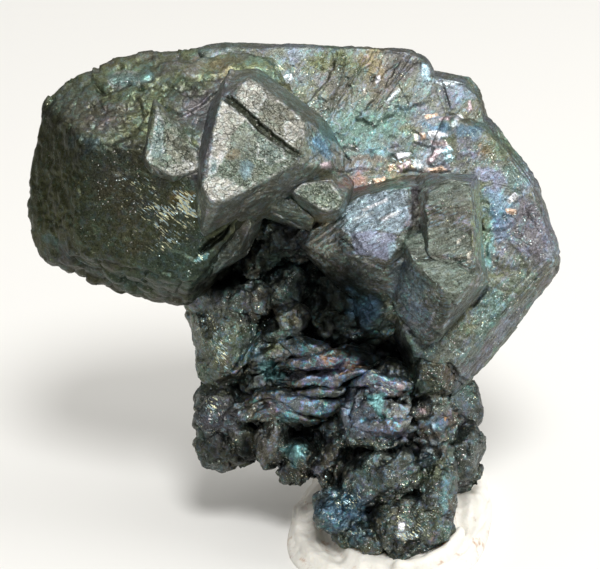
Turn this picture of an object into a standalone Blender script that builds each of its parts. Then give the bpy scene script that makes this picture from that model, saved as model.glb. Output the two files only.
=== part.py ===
"""A chalcocite specimen: tabular twinned crystals on a knobbly sulfide foot, held upright in white putty.

Shapes are laid out in millimetres with the broad plate crystal upright: X to the right, Y away from
the viewer, Z up, and the origin under the foot. The whole is then leant back by LEAN and scaled to metres.
"""

import math
import random

import bmesh
import bpy
from mathutils import Matrix, Vector

LEAN = math.radians(22)     # the plate crystal leans back from upright
EDGE_WEAR = 0.28            # worn width of the crystals' edges
BEFORE_WEAR = 1.015         # the crystals' size before their edges wore down
LUMP_CORNERS = 26           # corners on each lump of the foot
GAP = 0.3                   # clearance between the stone and its putty
TO_METRES = 0.001

PUTTY_CENTRE = (0.1, 1.8)   # in plan, after the lean
PUTTY_RADII = (8.1, 11.4, 5.4)
PUTTY_RISE = (0.02, 0.036)  # its height grows by these shares per mm to the right and to the back
PUTTY_TURN = -9             # degrees, in plan
PUTTY_SEGMENTS = (40, 20)
PUTTY_SQUARENESS = 2.5      # 2 would be an ellipsoid; more makes its sides steeper


def level(outline, depth):
    """The outline's corners, all at one depth."""
    return [Vector((x, depth, z)) for x, z in outline]


def facet(outline, through, right, up):
    """The outline's corners on a flat through this point, turned right and up from facing the viewer."""
    a, b = math.radians(right), math.radians(up)
    x0, y0, z0 = through
    return [Vector((x, y0 + ((x - x0) * math.sin(a) + (z - z0) * math.tan(b)) / math.cos(a), z))
            for x, z in outline]


# Each crystal is the convex solid around its corners, which are given in (x, z) as seen from the front.
CRYSTALS = {
    "left_block": [
        facet([(-24.2, 31.5), (-25.0, 25.6), (-24.0, 23.0), (-19.5, 21.5), (-15.6, 21.0), (-12.6, 24.6),
               (-12.6, 30.6), (-19.5, 30.2)], (-19, -11.6, 26.5), -8, -5),
        facet([(-23.8, 33.4), (-19.6, 35.8), (-11.0, 36.6), (-12.6, 31.6)], (-19, -11.4, 31.0), -4, 26),
        level([(-28.9, 30.5), (-27.9, 35.2), (-24.3, 37.8), (-19.0, 39.3), (-9.0, 39.4), (-5.0, 33.5),
               (-9.8, 24.8), (-16.2, 18.4), (-22.6, 19.8), (-28.4, 22.6), (-29.5, 26.5)], -5.4),
        level([(-25.0, 33.0), (-21.0, 36.0), (-10.0, 37.0), (-11.0, 24.0), (-16.4, 21.4), (-21.6, 22.6),
               (-25.6, 26.0)], -1.6)],
    "left_facet": [
        facet([(-18.7, 34.3), (-15.9, 31.8), (-15.3, 29.3), (-17.2, 28.9), (-18.7, 29.5), (-19.5, 30.4)],
              (-17.3, -12.9, 31), 6, 24),
        level([(-19.4, 35.6), (-14.6, 32.2), (-14.0, 28.4), (-17.2, 27.2), (-20.2, 28.4), (-21.0, 30.6)], -9.8)],
    "ridge": [
        facet([(-11.3, 36.5), (-13.5, 34.8), (-15.0, 28.4), (-14.3, 27.0), (-13.5, 26.7), (-7.5, 29.9),
               (-7.0, 33.2)], (-11, -14.2, 31.5), 6, 24),
        level([(-15.8, 33.6), (-12.9, 37.2), (-10.6, 37.4), (-5.4, 33.4), (-3.8, 30.6), (-3.9, 29.2),
               (-8.4, 27.4), (-11.6, 26.2), (-15.8, 22.6), (-16.8, 27.0)], -9.4)],
    "ridge_tip": [
        facet([(-7.9, 27.7), (-7.2, 28.3), (-4.9, 28.6), (-3.9, 27.2), (-4.3, 26.3), (-5.5, 26.1), (-6.7, 26.9)],
              (-5.8, -12.2, 27.3), 8, 22),
        level([(-8.8, 27.8), (-7.6, 29.2), (-4.4, 30.0), (-3.1, 28.5), (-3.4, 26.2), (-4.6, 25.0), (-7.0, 25.6)],
              -9.2)],
    "brim_left": [
        level([(-15.4, 22.4), (-13.0, 24.2), (-11.6, 26.6), (-11.2, 25.0), (-12.3, 23.0)], -10.9),
        level([(-16.6, 21.6), (-12.6, 26.4), (-10.8, 27.2), (-10.2, 25.6), (-11.4, 22.8), (-14.4, 21.0)], -8.6)],
    "brim_top": [
        level([(-11.2, 26.9), (-8.2, 27.3), (-6.4, 25.8), (-8.6, 26.4)], -10.9),
        level([(-11.8, 27.0), (-8.0, 28.0), (-5.6, 25.8), (-6.6, 24.6), (-8.8, 25.8), (-10.8, 25.8)], -8.4)],
    "plate_top": [
        facet([(-15.0, 38.5), (-5.6, 38.8), (1.2, 38.5), (2.7, 37.4), (4.2, 34.0), (3.4, 27.6), (-5.0, 27.0),
               (-13.0, 29.0)], (-4, -7.0, 33), 3, 9),
        level([(-16.4, 39.1), (-14.6, 39.9), (-5.8, 39.8), (1.6, 39.4), (3.0, 38.7), (3.8, 37.0), (4.8, 33.5),
               (3.6, 26.0), (-5.0, 24.0), (-14.0, 27.0)], -4.0),
        level([(-13.0, 37.4), (0.8, 37.0), (3.4, 33.0), (2.0, 22.0), (-8.0, 23.0)], 0.6)],
    "plate_upper": [
        facet([(1.2, 36.8), (3.6, 36.9), (6.0, 36.4), (6.9, 35.2), (7.4, 32.6), (7.2, 27.0), (1.2, 27.0)],
              (4, -6.0, 33), 7, 8),
        level([(0.4, 37.6), (3.4, 37.7), (6.3, 37.1), (7.1, 36.2), (8.1, 32.8), (8.4, 24.0), (0.4, 22.0)], -3.2),
        level([(0.8, 36.0), (5.0, 35.4), (7.0, 32.0), (7.0, 25.0), (0.8, 24.0)], 1.2)],
    "plate_right": [
        facet([(3.0, 34.2), (7.6, 32.4), (10.9, 28.3), (12.8, 22.6), (12.6, 22.0), (9.0, 18.6), (4.8, 14.0),
               (1.8, 14.6), (-1.0, 22.0)], (7, -7.0, 24), 7, 3),
        level([(2.6, 35.4), (8.0, 33.9), (11.6, 29.0), (13.6, 22.8), (13.5, 21.5), (10.4, 17.5), (5.8, 12.0),
               (1.6, 12.8), (-2.0, 22.0)], -4.2),
        level([(3.0, 33.6), (7.0, 32.0), (10.6, 27.4), (12.2, 22.4), (9.0, 18.4), (5.0, 14.4), (1.4, 15.0),
               (-1.0, 22.0)], 3.0)],
    "plate_lower_edge": [
        level([(4.0, 19.0), (9.0, 17.0), (6.4, 14.0), (4.8, 12.0), (2.6, 13.0)], -5.4),
        level([(3.6, 20.0), (10.3, 17.0), (6.8, 13.0), (4.8, 11.3), (1.8, 13.0)], -3.0),
        level([(3.6, 19.0), (9.0, 17.0), (5.6, 13.6), (2.0, 14.0)], 2.0)],
    "front_block": [
        facet([(-3.9, 26.5), (-2.4, 27.4), (0.9, 28.0), (1.3, 25.2), (-0.3, 22.6), (-2.4, 22.5), (-4.0, 24.0)],
              (-1.6, -11.2, 25.2), -18, 8),
        level([(-7.1, 23.6), (-6.0, 25.4), (-4.4, 26.6)], -8.6),
        level([(-7.4, 23.4), (-6.2, 26.0), (-4.2, 28.2), (1.2, 29.4), (6.5, 29.0), (7.2, 21.0), (2.6, 16.6),
               (-1.8, 18.4), (-4.8, 20.6)], -6.4)],
    "front_crystal": [
        facet([(2.4, 27.6), (4.4, 28.6), (5.9, 28.2), (6.1, 22.7), (4.0, 22.0), (2.6, 22.8)],
              (4.2, -13.2, 25.5), 6, 8),
        level([(1.2, 28.0), (2.2, 29.3), (6.6, 29.1), (7.3, 22.0), (4.0, 19.0), (1.2, 24.0)], -8.6)],
    "front_foot": [
        facet([(1.4, 22.4), (3.3, 22.7), (5.2, 22.1), (6.2, 21.2), (5.6, 20.2), (4.7, 19.5), (3.6, 20.1)],
              (3.8, -13.7, 21.4), 6, 22),
        level([(0.6, 24.2), (3.0, 24.6), (6.2, 23.6), (6.9, 21.4)], -11.6),
        level([(0.2, 24.6), (-0.5, 21.5), (0.1, 18.4), (2.4, 15.6), (3.6, 15.9), (7.5, 20.6), (7.0, 23.0),
               (3.0, 25.0)], -8.8)],
    "front_slope": [
        level([(-1.2, 22.4), (0.6, 22.0), (0.4, 18.4), (-1.4, 18.0), (-2.6, 20.6)], -8.2),
        level([(-2.8, 22.6), (1.2, 22.6), (1.6, 16.8), (-2.8, 16.0), (-3.8, 19.8)], -5.4)],
    "back_block": [
        level([(-14.0, 34.0), (-8.0, 37.4), (1.0, 36.4), (6.0, 30.0), (5.0, 19.0), (-3.0, 14.5), (-10.5, 19.5),
               (-14.5, 26.0)], -2.0),
        facet([(-10.0, 31.6), (-6.0, 33.6), (0.0, 33.0), (2.6, 28.0), (1.6, 21.0), (-4.0, 18.6), (-8.6, 21.6),
               (-11.0, 26.0)], (-5, 2.6, 27), 0, -4)],
    "back_plate": [
        level([(-1.5, 33.6), (6.8, 32.6), (11.6, 26.6), (11.0, 19.6), (4.0, 13.2), (-1.6, 18.8)], 0.5),
        facet([(1.6, 30.6), (6.0, 29.8), (9.4, 25.6), (8.8, 20.6), (4.4, 16.2), (1.2, 19.6)],
              (5, 5.6, 23), 4, -7)],
    "back_facet": [
        level([(-13.6, 33.0), (-8.0, 34.6), (-4.4, 29.0), (-9.4, 22.6), (-14.6, 27.4)], 0.5),
        facet([(-10.8, 31.0), (-7.8, 31.8), (-6.6, 29.2), (-9.0, 27.0), (-11.6, 28.4)],
              (-9, 4.6, 29.5), -8, -14)],
}

# Lumps of the foot, as (centre, radii, turn in the XZ plane).
LUMPS = {
    "stem_left": ((-12.8, -2.2, 16.4), (3.4, 3.8, 4.0), 8),
    "stem_shoulder": ((-12.6, -2.6, 19.0), (3.8, 3.4, 2.4), 0),
    "stem_core": ((-8.4, 0.0, 17.4), (5.2, 4.4, 4.8), 0),
    "stem_right": ((-2.0, 0.4, 16.8), (6.0, 4.8, 5.0), 0),
    "stem_low": ((-7.6, -1.0, 12.8), (6.0, 3.8, 3.0), 0),
    "cavity_lump": ((-9.0, -7.2, 23.9), (2.4, 2.4, 2.1), 20),
    "cavity_roof": ((-8.0, -5.0, 25.0), (4.0, 2.6, 2.4), 0),
    "cavity_back": ((-10.6, -1.6, 21.6), (3.4, 3.2, 3.0), 0),
    "cavity_chip": ((-8.5, -5.6, 17.2), (1.2, 1.4, 1.6), 45),
    "cavity_shelf": ((-8.6, -4.6, 20.2), (1.8, 1.8, 1.3), 10),
    "cavity_knob": ((-11.4, -4.8, 19.0), (1.7, 1.8, 1.8), 0),
    "cavity_wall": ((-4.4, -2.8, 19.6), (3.4, 3.6, 3.4), 0),
    "cavity_floor": ((-3.4, -4.4, 17.4), (2.4, 2.0, 1.5), 0),
    "stem_teal": ((-9.9, -4.8, 14.6), (2.2, 1.6, 1.2), -10),
    "ridge_purple": ((-4.8, -5.0, 14.2), (3.6, 1.9, 1.0), -10),
    "ridge_middle": ((-7.2, -4.4, 12.8), (4.0, 1.8, 1.0), -6),
    "ridge_blue": ((-8.3, -4.6, 10.8), (4.4, 1.9, 1.3), -4),
    "knob_left": ((-14.1, -2.6, 10.2), (2.1, 2.2, 2.7), 10),
    "knob_left_low": ((-13.9, -2.2, 7.2), (1.8, 2.2, 1.5), 0),
    "knob_left_right": ((-12.1, -2.6, 7.6), (1.4, 1.8, 1.5), 0),
    "knob_middle": ((-9.7, -4.0, 7.9), (1.2, 1.6, 2.0), 8),
    "knob_blue": ((-7.4, -4.4, 6.8), (1.3, 1.5, 1.3), 0),
    "knob_under": ((-7.9, -3.4, 5.5), (1.6, 1.6, 1.0), 10),
    "foot_core": ((1.3, 0.0, 8.0), (5.0, 5.0, 6.4), 0),
    "foot_web": ((-7.2, -0.2, 9.4), (5.2, 3.0, 3.0), 0),
    "foot_top": ((-1.0, -5.0, 11.8), (2.9, 2.2, 2.0), -8),
    "foot_wedge": ((-1.0, -6.6, 10.8), (1.1, 1.0, 1.2), 30),
    "foot_arm": ((-0.9, -6.0, 8.6), (2.7, 1.8, 1.3), -8),
    "foot_column": ((-4.7, -4.2, 7.6), (1.2, 1.9, 2.4), 8),
    "foot_spur": ((-5.7, -3.8, 5.5), (0.8, 1.3, 1.1), 0),
    "foot_grain": ((3.2, -4.6, 9.6), (1.9, 2.0, 2.0), 0),
    "plate_knob": ((3.2, -5.8, 13.5), (2.1, 2.2, 2.1), 20),
    "right_back": ((5.5, -0.8, 10.6), (1.9, 2.6, 2.7), -14),
    "right_prism": ((5.9, -2.8, 6.9), (1.5, 2.2, 2.0), 4),
    "right_under": ((5.7, -0.6, 4.8), (1.7, 2.2, 1.4), 0),
    "boulder": ((-0.5, -5.8, 5.0), (3.0, 2.2, 1.9), -8),
    "foot_prism": ((3.5, -5.4, 3.9), (1.5, 2.0, 3.3), 2),
    "foot_blue": ((-4.0, -4.8, 2.6), (2.2, 2.3, 1.8), 0),
    "foot_front": ((1.3, -6.0, 0.9), (3.1, 2.6, 2.3), -6),
    "foot_chip": ((-2.6, -5.4, -0.1), (1.9, 1.8, 1.0), 8),
    "foot_back": ((1.0, 2.2, 5.6), (4.0, 2.8, 3.4), 0),
    "stem_back": ((-4.0, 2.8, 13.6), (4.4, 2.8, 4.2), 20),
    "back_knob": ((4.0, 3.6, 10.4), (2.8, 2.4, 3.4), 0),
    "core_join": ((-3.0, 0.4, 11.4), (2.2, 2.2, 2.2), 0),
}
PRESSED_LUMPS = [name for name in LUMPS if name.startswith(("foot", "right", "boulder"))]


# Grooves, as (start, end, width, depth): start and end are (x, y, z) on the face that the groove is cut in.
GROOVES = {
    "ridge_groove": ((-13.6, -12.6, 35.0), (-6.8, -14.6, 30.5), 0.45, 0.6),
    "plate_notch": ((-5.7, -8.0, 39.8), (-4.0, -8.0, 39.8), 0.9, 12.0),
    "plate_step": ((9.4, -6.3, 19.3), (12.9, -6.4, 22.4), 0.35, 0.4),
}
# Pits, as (centre, radii, turn in the XZ plane).
PITS = {
    "top_chip": ((-21.4, -9.6, 37.2), (2.2, 1.4, 1.2), 10),
    "brim_crack": ((-14.9, -11.4, 23.2), (1.6, 1.2, 0.4), 45),
}


def lump_corners(centre, radii, turn, seed, grow=0.0):
    """Corners of a rough lump: points spread evenly over an ellipsoid, then jittered."""
    dice = random.Random(seed)
    turned = Matrix.Rotation(math.radians(turn), 3, "Y")
    corners = []
    for i in range(LUMP_CORNERS):
        height = 1 - (2 * i + 1) / LUMP_CORNERS
        angle = i * math.pi * (3 - math.sqrt(5)) + dice.uniform(-0.5, 0.5)
        ring = math.sqrt(1 - height * height)
        way = Vector((ring * math.cos(angle), ring * math.sin(angle), height))
        reach = dice.uniform(1.0, 1.18)
        corners.append(Vector(centre) + turned @ Vector([(r * reach + grow) * w for r, w in zip(radii, way)]))
    return corners


def solid_around(corners, wear=0.0):
    """The convex solid around these corners, with its edges worn off flat."""
    bm = bmesh.new()
    middle = sum(corners, Vector()) / len(corners)
    for corner in corners:
        bm.verts.new(middle + (corner - middle) * (BEFORE_WEAR if wear else 1))
    hull = bmesh.ops.convex_hull(bm, input=bm.verts[:])
    inside = [v for v in hull["geom_interior"] + hull["geom_unused"] if isinstance(v, bmesh.types.BMVert)]
    bmesh.ops.delete(bm, geom=list(set(inside)), context="VERTS")
    bmesh.ops.dissolve_limit(bm, angle_limit=math.radians(2), verts=bm.verts[:], edges=bm.edges[:])
    bmesh.ops.recalc_face_normals(bm, faces=bm.faces[:])
    if wear:
        bmesh.ops.bevel(bm, geom=bm.edges[:], offset=wear, segments=1, affect="EDGES", clamp_overlap=True)
    return bm


def groove_box(start, end, width, depth):
    """A long box centred on the line from start to end; the depth runs away from the viewer."""
    start, end = Vector(start), Vector(end)
    along = (end - start).normalized()
    across = along.cross(Vector((0, 1, 0))).normalized()
    deep = across.cross(along)
    frame = Matrix((along, deep, across)).transposed().to_4x4()
    bm = bmesh.new()
    bmesh.ops.create_cube(bm, size=1)
    bm.transform(Matrix.Translation((start + end) / 2) @ frame @ Matrix.Diagonal(
        ((end - start).length, 2 * depth, width, 1)))
    return bm


def add_solid(name, bm, collection):
    """Leans the solid back, scales it to metres and puts it in the collection."""
    bm.transform(Matrix.Rotation(-LEAN, 4, "X") @ Matrix.Scale(TO_METRES, 4))
    mesh = bpy.data.meshes.new(name)
    bm.to_mesh(mesh)
    bm.free()
    obj = bpy.data.objects.new(name, mesh)
    collection.objects.link(obj)
    return obj


def new_collection(name, helper=False):
    collection = bpy.data.collections.new(name)
    bpy.context.scene.collection.children.link(collection)
    collection.hide_render = helper
    return collection


def as_helpers(collection):
    for obj in collection.objects:
        obj.hide_render = True
        obj.display_type = "WIRE"


def boolean(obj, operation, collection):
    modifier = obj.modifiers.new(operation.lower(), "BOOLEAN")
    modifier.operation = operation
    modifier.operand_type = "COLLECTION"
    modifier.collection = collection
    modifier.solver = "EXACT"


def finish(name, colour, roughness, metallic):
    material = bpy.data.materials.new(name)
    material.use_nodes = True
    shader = material.node_tree.nodes["Principled BSDF"]
    shader.inputs["Base Color"].default_value = (*colour, 1)
    shader.inputs["Roughness"].default_value = roughness
    shader.inputs["Metallic"].default_value = metallic
    return material


def make_specimen(target):
    """The crystals and the lumps of the foot, grown together as one stone."""
    grown = new_collection("grown_together", helper=True)
    names = list(CRYSTALS)
    for name in names[1:]:
        add_solid(name, solid_around(sum(CRYSTALS[name], []), EDGE_WEAR), grown)
    for seed, (name, (centre, radii, turn)) in enumerate(LUMPS.items()):
        add_solid(name, solid_around(lump_corners(centre, radii, turn, seed)), grown)
    as_helpers(grown)
    specimen = add_solid("chalcocite_specimen", solid_around(sum(CRYSTALS[names[0]], []), EDGE_WEAR), target)
    boolean(specimen, "UNION", grown)
    worn_away = new_collection("worn_away", helper=True)
    for name, groove in GROOVES.items():
        add_solid(name, groove_box(*groove), worn_away)
    for seed, (name, (centre, radii, turn)) in enumerate(PITS.items()):
        add_solid(name, solid_around(lump_corners(centre, radii, turn, seed)), worn_away)
    as_helpers(worn_away)
    boolean(specimen, "DIFFERENCE", worn_away)
    specimen.data.materials.append(finish("tarnished sulfide", (0.13, 0.15, 0.14), 0.45, 0.6))
    return specimen


def make_putty(target):
    """A squashed ball of putty, flat underneath, with the foot's impression in it."""
    bm = bmesh.new()
    segments, rings = PUTTY_SEGMENTS
    bmesh.ops.create_uvsphere(bm, u_segments=segments, v_segments=rings, radius=1)
    for vert in bm.verts:
        vert.co /= sum(abs(c) ** PUTTY_SQUARENESS for c in vert.co) ** (1 / PUTTY_SQUARENESS)
    bmesh.ops.delete(bm, geom=[v for v in bm.verts if v.co.z < -0.001], context="VERTS")
    bmesh.ops.contextual_create(bm, geom=[e for e in bm.edges if e.is_boundary])
    bmesh.ops.recalc_face_normals(bm, faces=bm.faces[:])
    x, y = PUTTY_CENTRE
    turned = Matrix.Rotation(math.radians(PUTTY_TURN), 4, "Z")
    bm.transform(Matrix.Translation((x, y, 0)) @ turned @ Matrix.Diagonal((*PUTTY_RADII, 1)))
    for vert in bm.verts:
        vert.co.z *= 0.7 + PUTTY_RISE[0] * vert.co.x + PUTTY_RISE[1] * vert.co.y
    bm.transform(Matrix.Rotation(LEAN, 4, "X"))
    putty = add_solid("putty_pad", bm, target)
    pressed = new_collection("pressed_in", helper=True)
    for seed, (name, (centre, radii, turn)) in enumerate(LUMPS.items()):
        if name in PRESSED_LUMPS:
            add_solid(name + "_print", solid_around(lump_corners(centre, radii, turn, seed, GAP)), pressed)
    as_helpers(pressed)
    boolean(putty, "DIFFERENCE", pressed)
    putty.data.materials.append(finish("white putty", (0.86, 0.84, 0.79), 0.6, 0.0))
    return putty


def main():
    for obj in list(bpy.data.objects):
        bpy.data.objects.remove(obj)
    target = new_collection("chalcocite specimen")
    make_specimen(target)
    make_putty(target)


main()
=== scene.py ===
"""Chalcocite specimen: the fine surface of its crystals, foot and putty, with their finishes, light and camera.

Shapes are laid out in millimetres as the camera sees them, with the broad crystal faces upright: X to the
right, Y away from the camera, Z up. Each mesh is then leant back and scaled to the frame's metres.
"""

import itertools
import math
import random

import bmesh
import bpy
import numpy as np
from mathutils import Matrix, Vector


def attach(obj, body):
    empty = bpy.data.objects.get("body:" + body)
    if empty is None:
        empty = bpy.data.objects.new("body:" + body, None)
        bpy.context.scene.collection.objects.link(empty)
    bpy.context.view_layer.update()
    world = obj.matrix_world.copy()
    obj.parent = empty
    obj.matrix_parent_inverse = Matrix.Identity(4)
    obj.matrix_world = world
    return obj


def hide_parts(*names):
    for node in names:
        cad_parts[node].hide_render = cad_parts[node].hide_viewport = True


LEAN = math.radians(22)
TO_METRES = 0.001
# How much larger than its solid each form is before its relief wears it down.
CRYSTAL_BEFORE_WEAR = 1.015
LUMP_BEFORE_WEAR = 1.05
LUMP_CORNERS = 26
FLAKE_THICKNESS = 0.05

# The putty: its middle and radii, the share of its height that the top keeps, and how much that share rises
# with each millimetre to the right and to the back.
PUTTY_CENTRE = (0.1, 1.8)
PUTTY_RADII = (8.1, 11.4, 5.4)
PUTTY_TOP = 0.7
PUTTY_RISE = (0.02, 0.036)
PUTTY_TURN = math.radians(-9)
PUTTY_SQUARENESS = 2.8
# Ridges that fingers raised in the putty and hollows they pressed, as (line, width, height).
PUTTY_RIDGES = (([(0.4, -2.0), (2.4, -1.7), (4.2, -0.8), (5.3, 0.4)], 0.8, 0.9),
                ([(-7.6, 2.0), (-7.5, 0.4), (-6.6, -1.0), (-4.8, -2.2)], 0.8, 0.35),
                ([(-5.6, 1.6), (-5.2, 0.2), (-4.4, -0.8)], 1.0, -0.6), ([(-2.0, -2.1), (-0.6, -2.4)], 0.7, -0.4),
                ([(5.6, 3.0), (5.9, 1.2)], 0.8, -0.4), ([(7.4, 3.6), (7.5, 1.0), (6.6, -0.6)], 0.7, 0.3))

# The photograph's field: its width, its middle and how far forward it lies, in millimetres, and the lens.
FIELD_WIDTH = 48
FIELD_MIDDLE = (-7.36, 20.44)
AIM_FORWARD = 5.0
LENS, SENSOR = 200, 36

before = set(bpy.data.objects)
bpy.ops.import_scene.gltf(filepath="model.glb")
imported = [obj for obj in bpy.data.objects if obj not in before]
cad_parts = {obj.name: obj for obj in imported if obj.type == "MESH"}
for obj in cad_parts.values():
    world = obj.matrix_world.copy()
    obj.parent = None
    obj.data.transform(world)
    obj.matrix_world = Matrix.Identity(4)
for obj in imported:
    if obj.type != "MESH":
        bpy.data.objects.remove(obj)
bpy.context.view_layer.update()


# Fields over space, each worked out for a whole array of points at once.

def scramble(ix, iy, iz, seed):
    """A value from 0 to 1 for each whole-numbered place: its bits multiplied, shifted and mixed."""
    h = (ix.astype(np.int64) * 374761393 + iy.astype(np.int64) * 668265263
         + iz.astype(np.int64) * 1442695041 + seed * 974634777) & 0xFFFFFFFF
    h = ((h ^ (h >> 13)) * 1274126177) & 0xFFFFFFFF
    h = ((h ^ (h >> 16)) * 2246822519) & 0xFFFFFFFF
    return (h ^ (h >> 15)) / 4294967295.0


def noise(p, size, seed):
    """Values from -1 to 1 at places `size` apart, blended smoothly between the eight places round a point."""
    q = p / size
    low = np.floor(q)
    f = q - low
    f = f * f * f * (f * (f * 6 - 15) + 10)
    ix, iy, iz = (low[:, i] for i in range(3))
    total = np.zeros(len(p))
    for dx, dy, dz in itertools.product((0, 1), repeat=3):
        share = (f[:, 0] if dx else 1 - f[:, 0]) * (f[:, 1] if dy else 1 - f[:, 1]) \
            * (f[:, 2] if dz else 1 - f[:, 2])
        total += share * scramble(ix + dx, iy + dy, iz + dz, seed)
    return 2 * total - 1


def layered(p, size, layers, seed, keep=0.5, shape=lambda value: value):
    """Noise plus finer and fainter copies of itself, each half the size and `keep` of the strength."""
    total, strength, whole = np.zeros(len(p)), 1.0, 0.0
    for i in range(layers):
        total += strength * shape(noise(p, size / 2 ** i, seed + 17 * i))
        whole += strength
        strength *= keep
    return total / whole


def creased(p, size, layers, seed, keep=0.5):
    """Sharp ridges: one less 3.2 times the noise's distance from zero, layered as the noise is."""
    return layered(p, size, layers, seed, keep, lambda value: 1 - 3.2 * np.abs(value))


def bending(p, size, seed):
    """Three noises side by side, to bend space with."""
    return np.stack([layered(p, size, 2, seed + k) for k in (1, 2, 3)], 1)


def shards(p, size, seed):
    """The nearest scattered seed: its offset from the point, and three values of its own."""
    q = p / size
    low = np.floor(q)
    first = np.full(len(p), 9.0)
    offset = np.zeros((len(p), 3))
    marks = np.zeros((len(p), 3))
    for step in itertools.product((-1, 0, 1), repeat=3):
        place = low + np.array(step)
        ix, iy, iz = (place[:, i] for i in range(3))
        away = q - place - np.stack([scramble(ix, iy, iz, seed + k) for k in (1, 2, 3)], 1)
        far = (away * away).sum(1)
        nearer = far < first
        first = np.where(nearer, far, first)
        offset = np.where(nearer[:, None], away, offset)
        marks = np.where(nearer[:, None], place, marks)
    ix, iy, iz = (marks[:, i] for i in range(3))
    return offset * size, np.stack([scramble(ix, iy, iz, seed + k) for k in (4, 5, 6)], 1)


def smooth(x, low, high):
    """Zero up to low, one from high, and an s-shaped ramp between."""
    t = np.clip((x - low) / (high - low), 0, 1)
    return t * t * (3 - 2 * t)


def grained(p, degrees):
    """Places measured along lines that rise to the right at this angle, in depth, and across the lines."""
    a = math.radians(degrees)
    return np.stack([p[:, 0] * math.cos(a) + p[:, 2] * math.sin(a), p[:, 1],
                     p[:, 2] * math.cos(a) - p[:, 0] * math.sin(a)], 1)


# Solids.

def level(outline, depth):
    """The outline's corners, all at one depth."""
    return [Vector((x, depth, z)) for x, z in outline]


def facet(outline, through, right, up):
    """The outline's corners on a flat through this point, turned right and up from facing the viewer."""
    a, b = math.radians(right), math.radians(up)
    x0, y0, z0 = through
    return [Vector((x, y0 + ((x - x0) * math.sin(a) + (z - z0) * math.tan(b)) / math.cos(a), z))
            for x, z in outline]


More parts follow.
